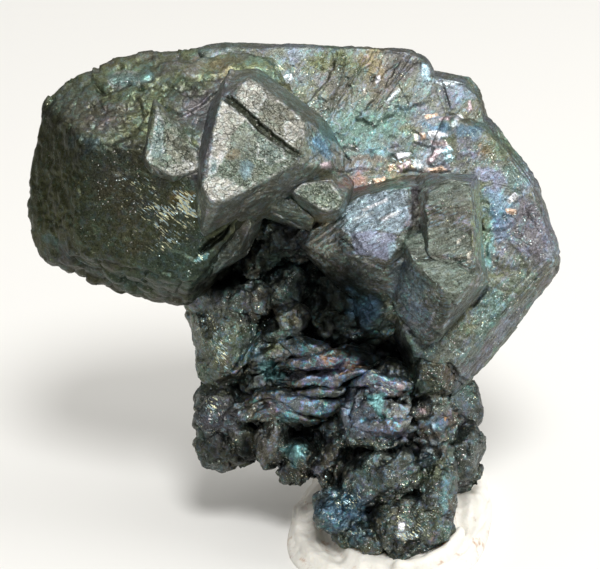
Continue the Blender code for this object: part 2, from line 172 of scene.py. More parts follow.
# Each crystal, as the corners of the convex solid round it.
CRYSTALS = {
    "left_block": [
        facet([(-24.2, 31.5), (-25.0, 25.6), (-24.0, 23.0), (-19.5, 21.5), (-15.6, 21.0), (-12.6, 24.6),
               (-12.6, 30.6), (-19.5, 30.2)], (-19, -11.6, 26.5), -8, -5),
        facet([(-23.8, 33.4), (-19.6, 35.8), (-11.0, 36.6), (-12.6, 31.6)], (-19, -11.4, 31.0), -4, 26),
        level([(-28.9, 30.5), (-27.9, 35.2), (-24.3, 37.8), (-19.0, 39.3), (-9.0, 39.4), (-5.0, 33.5),
               (-9.8, 24.8), (-16.2, 18.4), (-22.6, 19.8), (-28.4, 22.6), (-29.5, 26.5)], -5.4),
        level([(-25.0, 33.0), (-21.0, 36.0), (-10.0, 37.0), (-11.0, 24.0), (-16.4, 21.4), (-21.6, 22.6),
               (-25.6, 26.0)], -1.6)],
    "left_facet": [
        facet([(-18.7, 34.3), (-15.9, 31.8), (-15.3, 29.3), (-17.2, 28.9), (-18.7, 29.5), (-19.5, 30.4)],
              (-17.3, -12.2, 31), 6, 20),
        level([(-18.9, 35.0), (-14.6, 32.2), (-14.0, 28.4), (-17.2, 27.2), (-19.6, 28.4), (-20.2, 30.6)], -9.8)],
    "ridge": [
        facet([(-11.3, 36.5), (-13.5, 34.8), (-15.0, 28.4), (-14.3, 27.0), (-13.5, 26.7), (-7.5, 29.9),
               (-7.0, 33.2)], (-11, -14.2, 31.5), 6, 24),
        level([(-15.2, 33.6), (-12.9, 37.2), (-10.6, 37.4), (-5.4, 33.4), (-3.8, 30.6), (-3.9, 29.2),
               (-8.4, 27.4), (-11.6, 26.2), (-15.4, 22.8), (-15.7, 27.0)], -9.4)],
    "ridge_tip": [
        facet([(-7.9, 27.7), (-7.2, 28.3), (-4.9, 28.6), (-3.9, 27.2), (-4.3, 26.3), (-5.5, 26.1), (-6.7, 26.9)],
              (-5.8, -12.2, 27.3), 8, 22),
        level([(-8.8, 27.8), (-7.6, 29.2), (-4.4, 30.0), (-3.1, 28.5), (-3.4, 26.2), (-4.6, 25.0), (-7.0, 25.6)],
              -9.2)],
    "brim_left": [
        level([(-15.4, 22.4), (-13.0, 24.2), (-11.6, 26.6), (-11.2, 25.0), (-12.3, 23.0)], -10.9),
        level([(-16.6, 21.6), (-12.6, 26.4), (-10.8, 27.2), (-10.2, 25.6), (-11.4, 22.8), (-14.4, 21.0)], -8.6)],
    "brim_top": [
        level([(-11.2, 26.9), (-8.2, 27.3), (-6.4, 25.8), (-8.6, 26.4)], -10.9),
        level([(-11.8, 27.0), (-8.0, 28.0), (-5.6, 25.8), (-6.6, 24.6), (-8.8, 25.8), (-10.8, 25.8)], -8.4)],
    "plate_top": [
        facet([(-15.0, 38.9), (-5.6, 39.4), (1.4, 39.0), (2.9, 38.0), (4.2, 34.0), (3.4, 27.6), (-5.0, 27.0),
               (-13.0, 29.0)], (-4, -7.0, 33), 3, 9),
        level([(-16.4, 39.1), (-14.6, 39.9), (-5.8, 39.8), (1.6, 39.4), (3.0, 38.7), (3.8, 37.0), (4.8, 33.5),
               (3.6, 26.0), (-5.0, 24.0), (-14.0, 27.0)], -4.0),
        level([(-13.0, 37.4), (0.8, 37.0), (3.4, 33.0), (2.0, 22.0), (-8.0, 23.0)], 0.6)],
    "plate_upper": [
        facet([(1.2, 36.8), (3.6, 36.9), (6.0, 36.4), (6.9, 35.2), (7.4, 32.6), (7.2, 27.0), (1.2, 27.0)],
              (4, -6.0, 33), 7, 8),
        level([(0.4, 37.6), (3.4, 37.7), (6.3, 37.1), (7.1, 36.2), (8.1, 32.8), (8.4, 24.0), (0.4, 22.0)], -3.2),
        level([(0.8, 36.0), (5.0, 35.4), (7.0, 32.0), (7.0, 25.0), (0.8, 24.0)], 1.2)],
    "plate_right": [
        facet([(4.4, 33.7), (7.6, 32.4), (10.9, 28.3), (12.8, 22.6), (12.6, 22.0), (9.0, 18.6), (4.8, 14.0),
               (1.8, 14.6), (-1.0, 22.0)], (7, -7.0, 24), 7, 3),
        level([(3.6, 35.2), (8.0, 33.9), (11.6, 29.0), (13.6, 22.8), (13.5, 21.5), (10.4, 17.5), (5.8, 12.0),
               (1.6, 12.8), (-2.0, 22.0)], -4.2),
        level([(3.0, 33.6), (7.0, 32.0), (10.6, 27.4), (12.2, 22.4), (9.0, 18.4), (5.0, 14.4), (1.4, 15.0),
               (-1.0, 22.0)], 3.0)],
    "plate_lower_edge": [
        level([(4.0, 19.0), (9.0, 17.0), (6.4, 14.0), (4.8, 12.0), (2.6, 13.0)], -5.4),
        level([(3.6, 20.0), (10.3, 17.0), (6.8, 13.0), (4.8, 11.3), (1.8, 13.0)], -3.0),
        level([(3.6, 19.0), (9.0, 17.0), (5.6, 13.6), (2.0, 14.0)], 2.0)],
    "front_block": [
        facet([(-3.9, 26.5), (-2.4, 27.4), (0.9, 28.0), (1.3, 25.2), (-0.3, 22.6), (-2.4, 22.5), (-4.0, 24.0)],
              (-1.6, -11.2, 25.2), -12, 12),
        level([(-7.1, 23.6), (-6.0, 25.4), (-4.4, 26.6)], -8.6),
        level([(-7.4, 23.4), (-6.2, 26.0), (-4.2, 28.2), (1.2, 29.4), (6.5, 29.0), (7.2, 21.0), (2.6, 16.6),
               (-1.8, 18.4), (-4.8, 20.6)], -6.4)],
    "front_crystal": [
        facet([(2.4, 27.6), (4.4, 28.6), (5.9, 28.2), (6.1, 22.7), (4.0, 22.0), (2.6, 22.8)],
              (4.2, -12.6, 25.5), 6, 8),
        level([(1.2, 28.0), (2.2, 29.3), (6.6, 29.1), (7.3, 22.0), (4.0, 19.0), (1.2, 24.0)], -8.6)],
    "front_foot": [
        facet([(1.4, 22.4), (3.3, 22.7), (5.2, 22.1), (6.2, 21.2), (5.6, 20.2), (4.7, 19.5), (3.6, 20.1)],
              (3.8, -13.3, 21.4), 6, 22),
        level([(0.6, 24.2), (3.0, 24.6), (6.2, 23.6), (6.9, 21.4)], -11.6),
        level([(0.2, 24.6), (-0.5, 21.5), (0.1, 18.4), (2.4, 15.6), (3.6, 15.9), (7.5, 20.6), (7.0, 23.0),
               (3.0, 25.0)], -8.8)],
    "front_slope": [
        level([(-1.2, 22.4), (0.6, 22.0), (0.4, 18.4), (-1.4, 18.0), (-2.6, 20.6)], -8.2),
        level([(-2.8, 22.6), (1.2, 22.6), (1.6, 16.8), (-2.8, 16.0), (-3.8, 19.8)], -5.4)],
    "back_block": [
        level([(-14.0, 34.0), (-8.0, 37.4), (1.0, 36.4), (6.0, 30.0), (5.0, 19.0), (-3.0, 14.5), (-10.5, 19.5),
               (-14.5, 26.0)], -2.0),
        facet([(-10.0, 31.6), (-6.0, 33.6), (0.0, 33.0), (2.6, 28.0), (1.6, 21.0), (-4.0, 18.6), (-8.6, 21.6),
               (-11.0, 26.0)], (-5, 2.6, 27), 0, -4)],
    "back_plate": [
        level([(-1.5, 33.6), (6.8, 32.6), (11.6, 26.6), (11.0, 19.6), (4.0, 13.2), (-1.6, 18.8)], 0.5),
        facet([(1.6, 30.6), (6.0, 29.8), (9.4, 25.6), (8.8, 20.6), (4.4, 16.2), (1.2, 19.6)],
              (5, 5.6, 23), 4, -7)],
    "back_facet": [
        level([(-13.6, 33.0), (-8.0, 34.6), (-4.4, 29.0), (-9.4, 22.6), (-14.6, 27.4)], 0.5),
        facet([(-10.8, 31.0), (-7.8, 31.8), (-6.6, 29.2), (-9.0, 27.0), (-11.6, 28.4)],
              (-9, 4.6, 29.5), -8, -14)],
}

# Each lump, as its centre, its radii and how many degrees it is turned clockwise.
LUMPS = {
    "stem_left": ((-12.8, -2.2, 16.4), (3.4, 3.8, 4.0), 8),
    "stem_shoulder": ((-12.6, -2.6, 19.0), (3.8, 3.4, 2.4), 0),
    "stem_core": ((-8.4, 0.0, 17.4), (5.2, 4.4, 4.8), 0),
    "stem_right": ((-2.0, 0.4, 16.8), (6.0, 4.8, 5.0), 0),
    "stem_low": ((-7.6, -1.0, 12.8), (6.0, 3.8, 3.0), 0),
    "cavity_lump": ((-9.2, -6.8, 24.0), (1.9, 1.7, 1.3), 20),
    "cavity_roof": ((-8.0, -5.0, 25.0), (4.0, 2.6, 2.4), 0),
    "cavity_back": ((-10.6, -1.6, 21.6), (3.4, 3.2, 3.0), 0),
    "cavity_chip": ((-8.5, -5.6, 17.2), (1.2, 1.4, 1.6), 45),
    "cavity_shelf": ((-8.6, -4.6, 20.2), (1.8, 1.8, 1.3), 10),
    "cavity_knob": ((-11.4, -4.8, 19.0), (1.7, 1.8, 1.8), 0),
    "cavity_wall": ((-4.4, -2.8, 19.6), (3.4, 3.6, 3.4), 0),
    "cavity_floor": ((-3.4, -4.4, 17.4), (2.4, 2.0, 1.5), 0),
    "stem_teal": ((-9.9, -4.8, 14.6), (2.2, 1.6, 1.2), -10),
    "ridge_purple": ((-4.8, -5.0, 14.2), (3.6, 1.9, 1.0), -10),
    "ridge_middle": ((-7.2, -4.4, 12.8), (4.0, 1.8, 1.0), -6),
    "ridge_blue": ((-8.3, -4.6, 10.8), (4.4, 1.9, 1.3), -4),
    "knob_left": ((-14.1, -2.6, 10.2), (2.1, 2.2, 2.7), 10),
    "knob_left_low": ((-13.9, -2.2, 7.2), (1.8, 2.2, 1.5), 0),
    "knob_left_right": ((-12.1, -2.6, 7.6), (1.4, 1.8, 1.5), 0),
    "knob_middle": ((-9.7, -4.0, 7.9), (1.2, 1.6, 2.0), 8),
    "knob_blue": ((-7.4, -4.4, 6.8), (1.3, 1.5, 1.3), 0),
    "knob_under": ((-7.9, -3.4, 5.5), (1.6, 1.6, 1.0), 10),
    "foot_core": ((1.3, 0.0, 8.0), (5.0, 5.0, 6.4), 0),
    "foot_web": ((-7.2, -0.2, 9.4), (5.2, 3.0, 3.0), 0),
    "foot_top": ((-1.0, -5.0, 11.8), (2.9, 2.2, 2.0), -8),
    "foot_wedge": ((-1.0, -6.6, 10.8), (1.1, 1.0, 1.2), 30),
    "foot_arm": ((-0.9, -6.0, 8.6), (2.7, 1.8, 1.3), -8),
    "foot_column": ((-4.7, -4.2, 7.6), (1.2, 1.9, 2.4), 8),
    "foot_spur": ((-5.7, -3.8, 5.5), (0.8, 1.3, 1.1), 0),
    "foot_grain": ((3.2, -4.6, 9.6), (1.9, 2.0, 2.0), 0),
    "plate_knob": ((3.2, -5.8, 13.5), (2.1, 2.2, 2.1), 20),
    "right_back": ((5.5, -0.8, 10.6), (1.9, 2.6, 2.7), -14),
    "right_prism": ((5.9, -2.8, 6.9), (1.5, 2.2, 2.0), 4),
    "right_under": ((5.7, -0.6, 4.8), (1.7, 2.2, 1.4), 0),
    "boulder": ((-0.5, -5.8, 5.0), (3.0, 2.2, 1.9), -8),
    "foot_prism": ((3.5, -5.4, 3.9), (1.5, 2.0, 3.3), 2),
    "foot_blue": ((-4.0, -4.8, 2.6), (2.2, 2.3, 1.8), 0),
    "foot_front": ((1.1, -5.8, 0.9), (2.9, 2.5, 2.2), -6),
    "foot_chip": ((-2.6, -5.4, -0.1), (1.9, 1.8, 1.0), 8),
    "foot_back": ((1.0, 2.2, 5.6), (4.0, 2.8, 3.4), 0),
    "stem_back": ((-4.0, 2.8, 13.6), (4.4, 2.8, 4.2), 20),
    "back_knob": ((4.0, 3.6, 10.4), (2.8, 2.4, 3.4), 0),
    "core_join": ((-3.0, 0.4, 11.4), (2.2, 2.2, 2.2), 0),
    "cavity_tooth": ((-10.4, -6.4, 22.6), (1.0, 1.2, 1.7), 40),
    "cavity_ledge": ((-7.2, -6.8, 24.5), (1.9, 1.3, 0.9), -28),
    "foot_cheek": ((0.3, -6.6, 10.3), (1.3, 1.0, 1.1), -20),
    "foot_tooth": ((-2.2, -6.6, 10.4), (0.9, 0.9, 1.5), 25),
    "foot_corner": ((2.9, -6.3, 1.6), (1.5, 1.3, 1.5), -40),
    "foot_edge": ((0.2, -6.6, 2.0), (1.6, 1.2, 0.9), 20),
    "foot_ledge": ((-0.6, -6.8, 6.2), (1.9, 1.1, 0.8), -14),
    "foot_fill": ((-4.3, -3.6, 5.3), (1.0, 1.4, 1.2), 0),
    "foot_shoulder": ((-3.3, -5.8, 9.9), (0.9, 1.2, 2.5), 14),
}


def lump_corners(centre, radii, turn, seed):
    """Corners of a rough lump: points spread evenly over an ellipsoid, then jittered."""
    dice = random.Random(seed)
    turned = Matrix.Rotation(math.radians(turn), 3, "Y")
    corners = []
    for i in range(LUMP_CORNERS):
        height = 1 - (2 * i + 1) / LUMP_CORNERS
        angle = i * math.pi * (3 - math.sqrt(5)) + dice.uniform(-0.5, 0.5)
        ring = math.sqrt(1 - height * height)
        way = Vector((ring * math.cos(angle), ring * math.sin(angle), height))
        reach = dice.uniform(1.0, 1.18)
        corners.append(Vector(centre) + turned @ Vector([r * reach * w for r, w in zip(radii, way)]))
    return corners


def flats(corners):
    """The outward normals and offsets of the flats of the convex solid around these corners."""
    bm = bmesh.new()
    for corner in corners:
        bm.verts.new(corner)
    hull = bmesh.ops.convex_hull(bm, input=bm.verts[:])
    inside = [v for v in hull["geom_interior"] + hull["geom_unused"] if isinstance(v, bmesh.types.BMVert)]
    bmesh.ops.delete(bm, geom=list(set(inside)), context="VERTS")
    bmesh.ops.dissolve_limit(bm, angle_limit=math.radians(3), verts=bm.verts[:], edges=bm.edges[:])
    bmesh.ops.recalc_face_normals(bm, faces=bm.faces[:])
    bm.normal_update()
    normals = np.array([f.normal[:] for f in bm.faces])
    offsets = np.array([f.normal.dot(f.calc_center_median()) for f in bm.faces])
    bm.free()
    return normals, offsets


def box_grid(cells):
    """Points on the faces of a cube from -1 to 1, as six grids welded at their edges, and its quads."""
    points, quads, start = [], [], 0
    for axis in range(3):
        first, second = (axis + 1) % 3, (axis + 2) % 3
        for side in (-1.0, 1.0):
            u, v = np.meshgrid(np.linspace(-1, 1, cells[first] + 1), np.linspace(-1, 1, cells[second] + 1),
                               indexing="ij")
            sheet = np.zeros((u.size, 3))
            sheet[:, axis], sheet[:, first], sheet[:, second] = side, u.ravel(), v.ravel()
            index = start + np.arange(u.size).reshape(u.shape)
            ring = [index[:-1, :-1], index[1:, :-1], index[1:, 1:], index[:-1, 1:]]
            if side < 0:
                ring.reverse()
            points.append(sheet)
            quads.append(np.stack([r.ravel() for r in ring], 1))
            start += u.size
    points = np.concatenate(points)
    _, first_at, place = np.unique(np.round(points * 1e5).astype(np.int64), axis=0, return_index=True,
                                   return_inverse=True)
    return points[first_at], place.reshape(-1)[np.concatenate(quads)]


def shell(corners, cell, crisp, grow=1.0):
    """A closed skin round a convex solid: along each ray b from the middle, the distance is the sum over the
    flats of max(n.b / d, 0) to the power `crisp`, to the power -1/crisp. Gives points, normals, edge, quads."""
    middle = sum(corners, Vector()) / len(corners)
    normals, offsets = flats(corners)
    middle = np.array(middle)
    offsets = (offsets - normals @ middle) * grow
    spread = np.ptp(np.array([c[:] for c in corners]), axis=0)
    grid, quads = box_grid([max(5, int(math.ceil(s / cell))) for s in spread])
    rays = grid * spread / 2
    share = np.maximum(rays @ (normals / offsets[:, None]).T, 0)
    most = share.max(1)[:, None]
    powered = (share / most) ** crisp
    total = powered.sum(1)
    reach = total ** (-1 / crisp) / most[:, 0]
    out = (powered / np.maximum(share, 1e-9)) @ (normals / offsets[:, None])
    out /= np.linalg.norm(out, axis=1)[:, None]
    edge = 1 - powered.max(1) / total
    return middle + rays * reach[:, None], out, edge, quads


# Marks seen from the front.

def near_line(p, line):
    """Distance from each point to a broken line, both as the camera sees them, in X and Z."""
    best = np.full(len(p), 1e9)
    flat = p[:, (0, 2)]
    for a, b in zip(line[:-1], line[1:]):
        a, b = np.array(a), np.array(b)
        along = b - a
        t = np.clip(((flat - a) @ along) / (along @ along), 0, 1)
        best = np.minimum(best, np.linalg.norm(flat - a - t[:, None] * along, axis=1))
    return best


def inside(p, outline):
    """How far within an outline each point is, in X and Z: the distance to it, less than zero outside."""
    x, z = p[:, 0], p[:, 2]
    near = near_line(p, outline + outline[:1])
    within = np.zeros(len(p), bool)
    for (x0, z0), (x1, z1) in zip(outline, outline[1:] + outline[:1]):
        if z0 != z1:
            within ^= ((z0 > z) != (z1 > z)) & (x < x0 + (z - z0) * (x1 - x0) / (z1 - z0))
    return np.where(within, near, -near)


def close_by(p, line, front):
    """Which of the points that face the front are within a millimetre of the box round a line."""
    xs, zs = zip(*line)
    return (p[:, 0] > min(xs) - 1) & (p[:, 0] < max(xs) + 1) & (p[:, 2] > min(zs) - 1) \
        & (p[:, 2] < max(zs) + 1) & (front > 0)


def from_middle(dx, dz, wide, tall, turn):
    """How far from the middle of a turned ellipse these offsets lie: 1 on its rim."""
    a = math.radians(turn)
    u, v = dx * math.cos(a) + dz * math.sin(a), dz * math.cos(a) - dx * math.sin(a)
    return np.hypot(u / wide, v / tall)


# Cuts, as (line, width, depth).
CUTS = [
    ([(-15.0, 23.0), (-14.2, 23.7), (-13.2, 24.4), (-12.7, 24.9)], 0.34, 0.6),
    ([(-12.8, 24.8), (-12.1, 25.9), (-11.6, 26.9), (-10.4, 27.35), (-8.2, 27.4)], 0.22, 0.2),
    ([(-23.6, 36.4), (-22.9, 35.6), (-21.4, 36.1), (-20.4, 36.3), (-19.8, 35.8)], 0.22, 0.22),
    ([(-22.2, 31.4), (-20.4, 32.4), (-19.0, 33.8)], 0.4, 0.15),
    ([(3.3, 38.2), (4.0, 36.4), (4.5, 34.6), (4.7, 33.4)], 0.2, 0.12),
    ([(13.2, 21.8), (11.0, 19.3), (9.4, 17.6)], 0.16, 0.16),
    ([(12.6, 22.2), (10.6, 20.0), (8.8, 18.1)], 0.14, 0.12),
    ([(12.0, 22.3), (10.0, 20.4), (8.6, 18.9)], 0.12, 0.10),
    ([(-4.9, 34.6), (-4.2, 36.4), (-3.7, 38.5)], 0.14, 0.08),
    ([(-1.4, 34.8), (0.2, 36.8), (1.4, 38.7)], 0.16, 0.08),
    ([(-1.0, 34.8), (-0.4, 35.8), (0.5, 37.2)], 0.12, 0.06),
    ([(4.5, 18.9), (4.8, 18.6), (5.1, 18.8)], 0.3, 0.4),
    ([(-0.8, 11.5), (1.0, 11.1)], 0.22, 0.5),
    ([(4.4, 14.2), (5.2, 13.0), (6.2, 12.6)], 0.2, 0.2),
    ([(1.6, 22.5), (3.0, 22.7), (4.6, 22.4), (6.0, 21.6)], 0.14, 0.12),
    ([(5.9, 24.6), (6.0, 23.4), (5.7, 22.6)], 0.14, 0.15),
    ([(-15.4, 36.4), (-13.0, 36.9), (-11.4, 37.1)], 0.22, 0.2),
    ([(-4.3, 29.0), (-2.8, 29.5), (-1.4, 29.4)], 0.2, 0.08),
    ([(0.4, 29.1), (1.6, 29.4), (2.8, 29.1), (4.4, 29.3)], 0.2, 0.08),
    ([(-5.2, 33.2), (-4.4, 35.0), (-3.2, 36.8), (-2.2, 38.4)], 0.16, 0.08),
    ([(-1.4, 34.0), (-0.2, 35.8), (1.0, 37.4), (2.0, 38.4)], 0.16, 0.08),
    ([(-6.9, 29.6), (-5.7, 30.7), (-4.5, 31.1), (-3.4, 30.2)], 0.18, 0.10),
    ([(-0.6, 19.4), (1.6, 17.6), (3.6, 16.2)], 0.2, 0.2),
    ([(4.8, 19.0), (6.4, 18.8), (7.4, 20.0)], 0.2, 0.2),
    ([(-4.4, 24.2), (-2.4, 22.4), (-0.4, 21.6), (0.6, 22.4)], 0.18, 0.2),
]

# Thin raised sheets, and first the groove across the pale ridge face, as (outline, thickness).
LEDGES = [
    ([(-13.9, 35.2), (-12.6, 35.2), (-11.05, 33.7), (-9.45, 32.25), (-7.5, 30.8), (-6.8, 30.2), (-7.5, 30.3),
      (-9.8, 31.6), (-10.75, 32.4), (-11.55, 33.3), (-13.3, 34.7)], -0.30),
    ([(-19.0, 36.0), (-20.2, 35.0), (-19.6, 33.6), (-17.8, 34.2), (-16.4, 33.4), (-14.6, 34.6), (-12.6, 36.6),
      (-12.0, 40.0), (-24.5, 40.0), (-23.9, 36.5), (-22.9, 35.7), (-21.4, 36.1)], 0.28),
    ([(-7.2, 34.4), (-6.2, 35.6), (-5.2, 36.8), (-4.6, 38.4), (-3.4, 38.6), (-4.0, 36.4), (-5.0, 34.4),
      (-6.0, 33.6)], 0.14),
    ([(-3.0, 33.6), (-1.6, 35.0), (-0.4, 36.6), (0.6, 38.4), (2.8, 38.0), (3.6, 36.4), (2.6, 34.8), (0.4, 34.2),
      (-1.4, 33.0)], 0.15),
    ([(-7.0, 33.2), (-5.0, 33.8), (-2.4, 33.0), (0.6, 33.6), (1.6, 32.4), (0.6, 31.4), (-2.0, 31.0),
      (-4.4, 31.4), (-6.0, 31.8)], 0.05),
    ([(1.2, 32.8), (3.0, 33.8), (5.0, 33.4), (4.2, 32.4), (2.4, 32.0)], 0.06),
    ([(1.6, 31.8), (3.2, 32.6), (4.2, 31.9), (2.8, 31.2)], 0.07),
    ([(-0.2, 31.0), (0.6, 31.3), (1.6, 31.0), (1.8, 30.5), (0.8, 30.2), (0.0, 30.4)], 0.06),
    ([(0.2, 29.9), (1.4, 30.4), (2.6, 30.0), (2.4, 29.5), (0.8, 29.3)], 0.08),
    ([(2.6, 30.6), (4.4, 31.6), (5.4, 31.2), (4.6, 30.2), (3.2, 29.6)], 0.06),
    ([(3.4, 34.6), (4.6, 34.4), (5.6, 33.6), (4.8, 33.2), (3.8, 33.8)], 0.06),
    ([(6.4, 27.8), (8.0, 28.6), (10.2, 28.0), (10.6, 26.0), (9.0, 24.8), (7.2, 24.6), (6.6, 26.2)], 0.16),
    ([(7.4, 23.8), (9.4, 24.4), (11.4, 23.4), (10.8, 21.8), (8.8, 21.6), (7.6, 22.4)], 0.16),
    ([(8.6, 27.2), (9.6, 27.9), (10.4, 27.5), (9.6, 26.8)], 0.14),
    ([(-3.6, 26.4), (-2.2, 27.4), (0.8, 27.8), (1.0, 26.6), (-1.4, 26.0)], 0.14),
    ([(-3.4, 24.6), (-2.4, 25.4), (0.2, 25.2), (0.6, 24.0), (-0.6, 22.9), (-2.4, 22.8)], 0.12),
    ([(2.0, 25.8), (3.2, 26.0), (5.0, 28.2), (4.2, 28.5), (2.6, 27.6)], 0.14),
]

# Crystal faces that keep a paler or bluer film, and the groove painted with shade, as (outline, colour name,
# share, roughness).
FACES = [
    ([(-18.5, 34.3), (-17.0, 33.2), (-15.9, 32.0), (-15.2, 30.1), (-15.2, 29.2), (-16.2, 28.85), (-17.4, 28.9),
      (-18.4, 29.4), (-19.3, 30.1), (-19.0, 31.4), (-18.8, 32.9)], "PALE", 0.9, 0.44),
    ([(-18.5, 34.1), (-18.0, 33.0), (-18.1, 31.6), (-17.9, 30.8), (-18.4, 30.2), (-19.3, 30.1), (-19.0, 31.4)],
     "FROST", 0.9, 0.44),
    ([(-17.8, 32.4), (-16.4, 31.8), (-15.4, 30.6), (-15.3, 29.8), (-17.0, 30.0), (-17.7, 30.6)],
     "TAN", 0.7, 0.44),
    ([(-18.3, 29.5), (-17.0, 29.8), (-15.3, 29.9), (-15.2, 29.2), (-16.2, 28.85), (-17.4, 28.9)],
     "CREAM", 0.6, 0.44),
    ([(-13.4, 34.7), (-11.45, 33.2), (-10.7, 32.3), (-7.45, 30.5), (-7.8, 29.8), (-11.3, 27.7), (-12.8, 26.9),
      (-13.8, 26.6), (-14.7, 27.2), (-14.8, 28.3), (-14.4, 29.2), (-14.2, 30.8), (-13.9, 32.9)],
     "PALE", 0.95, 0.44),
    ([(-12.6, 32.4), (-11.4, 32.7), (-10.6, 31.7), (-11.1, 30.8), (-12.5, 30.9)], "GREY", 0.7, 0.42),
    ([(-13.4, 34.7), (-11.45, 33.4), (-12.1, 32.6), (-12.7, 31.85), (-12.7, 30.8), (-13.4, 29.85), (-14.2, 29.4),
      (-14.2, 31.1), (-13.85, 33.2)], "CREAM", 1.0, 0.42),
    ([(-12.8, 30.9), (-12.0, 30.9), (-11.9, 30.0), (-12.9, 29.9), (-13.3, 30.2)], "BROWN", 0.7, 0.44),
    ([(-14.3, 30.4), (-13.6, 30.1), (-13.7, 28.9), (-14.5, 28.7)], "FROST", 0.95, 0.42),
    ([(-14.8, 28.3), (-14.1, 28.7), (-12.9, 28.6), (-12.2, 28.2), (-11.6, 27.8), (-12.8, 26.9), (-13.8, 26.6),
      (-14.7, 27.2)], "CREAM", 0.85, 0.42),
    ([(-12.1, 30.0), (-11.4, 30.2), (-10.9, 29.6), (-11.1, 28.6), (-11.7, 28.3), (-12.1, 28.9)],
     "STEEL", 0.55, 0.42),
    ([(-10.8, 32.0), (-9.9, 31.7), (-8.6, 30.9), (-8.5, 30.2), (-9.6, 29.6), (-10.7, 30.2)], "FROST", 0.4, 0.42),
    ([(-12.45, 35.1), (-11.4, 36.5), (-10.7, 36.2), (-8.2, 34.3), (-7.0, 32.8), (-6.9, 31.2), (-7.5, 30.75),
      (-9.45, 32.2), (-11.05, 33.65)], "TAN", 0.8, 0.44),
    ([(-12.45, 35.1), (-11.4, 36.5), (-10.7, 36.2), (-9.9, 35.0), (-10.6, 33.7), (-11.3, 33.9)],
     "CREAM", 1.0, 0.42),
    ([(-8.6, 33.2), (-7.0, 33.0), (-7.0, 32.0), (-7.9, 31.4), (-8.6, 31.9)], "CREAM", 0.8, 0.42),
    # The groove across the pale ridge face: painted shade.
    ([(-13.7, 35.0), (-12.6, 35.15), (-11.05, 33.65), (-9.45, 32.2), (-7.5, 30.75), (-7.0, 30.3), (-7.5, 30.35),
      (-9.75, 31.65), (-10.7, 32.45), (-11.5, 33.35), (-13.2, 34.75)], "SHADE", 1.0, 0.46),
    ([(-7.85, 27.7), (-7.2, 28.3), (-5.85, 28.6), (-4.8, 28.3), (-3.8, 26.9), (-3.85, 26.3), (-4.9, 26.1),
      (-5.7, 26.3), (-6.6, 26.8), (-7.2, 26.9)], "PALE", 0.8, 0.44),
    ([(-22.7, 36.5), (-22.1, 35.9), (-21.3, 36.1), (-20.0, 36.4), (-19.9, 37.2), (-21.5, 37.6), (-22.5, 37.1)],
     "FROST", 0.7, 0.44),
    ([(1.4, 22.3), (3.5, 22.5), (5.1, 22.15), (6.15, 21.5), (6.4, 20.9), (5.5, 20.15), (4.9, 19.85), (5.0, 18.9),
      (4.15, 18.9), (3.8, 19.85), (3.2, 20.6), (1.8, 21.5)], "SAGE", 0.95, 0.46),
    ([(2.4, 26.6), (2.6, 27.4), (3.4, 28.4), (4.2, 28.9), (5.6, 28.7), (6.0, 28.2), (5.9, 26.5)],
     "SAGE", 0.6, 0.44),
    ([(1.0, 24.4), (2.2, 24.8), (4.4, 24.9), (5.9, 24.3), (5.9, 22.8), (4.0, 22.8), (1.4, 22.6)],
     "SAGE", 0.5, 0.44),
    ([(0.45, 24.4), (1.4, 24.8), (2.3, 24.4), (2.2, 23.4), (1.2, 23.0), (0.5, 23.4)], "SAGE", 0.9, 0.44),
    ([(4.1, 23.6), (5.2, 23.9), (6.0, 23.2), (5.7, 22.6), (4.4, 22.8)], "SLATE", 0.9, 0.40),
    ([(1.4, 28.2), (2.4, 28.8), (2.3, 25.4), (2.0, 24.9), (1.2, 25.2)], "MAUVE", 0.8, 0.40),
    ([(5.9, 28.4), (6.8, 28.6), (7.2, 23.0), (6.9, 21.2), (6.3, 21.6), (6.0, 24.0)], "OLIVE", 0.7, 0.40),
    ([(-4.3, 26.4), (-3.1, 27.2), (-1.4, 27.85), (1.0, 27.9), (1.2, 25.7), (0.4, 24.3), (-1.6, 24.7), (-3.5, 24.2),
      (-4.5, 25.2)], "ICE", 0.9, 0.30),
    ([(-3.4, 24.4), (-1.6, 24.7), (0.3, 24.3), (0.0, 23.1), (-0.6, 22.2), (-2.0, 22.8), (-3.1, 22.8)],
     "PERIWINKLE", 0.95, 0.32),
    ([(-0.6, 23.6), (0.2, 24.0), (0.1, 23.0), (-0.5, 22.4)], "SKY", 0.9, 0.32),
    ([(-15.6, 22.2), (-15.2, 22.9), (-14.5, 23.0), (-14.6, 22.4)], "AQUA", 1.0, 0.30),
    ([(-10.8, 14.2), (-9.6, 14.4), (-8.4, 13.2), (-8.8, 12.6), (-10.0, 12.9)], "AQUA", 0.9, 0.34),
    ([(-2.0, 11.6), (-0.7, 11.8), (-0.8, 9.9), (-1.4, 10.3)], "SKY", 0.6, 0.32),
    ([(-6.6, 31.9), (-5.9, 32.0), (-4.7, 30.6), (-5.0, 30.1), (-5.8, 30.5)], "BLUE", 0.7, 0.40),
]

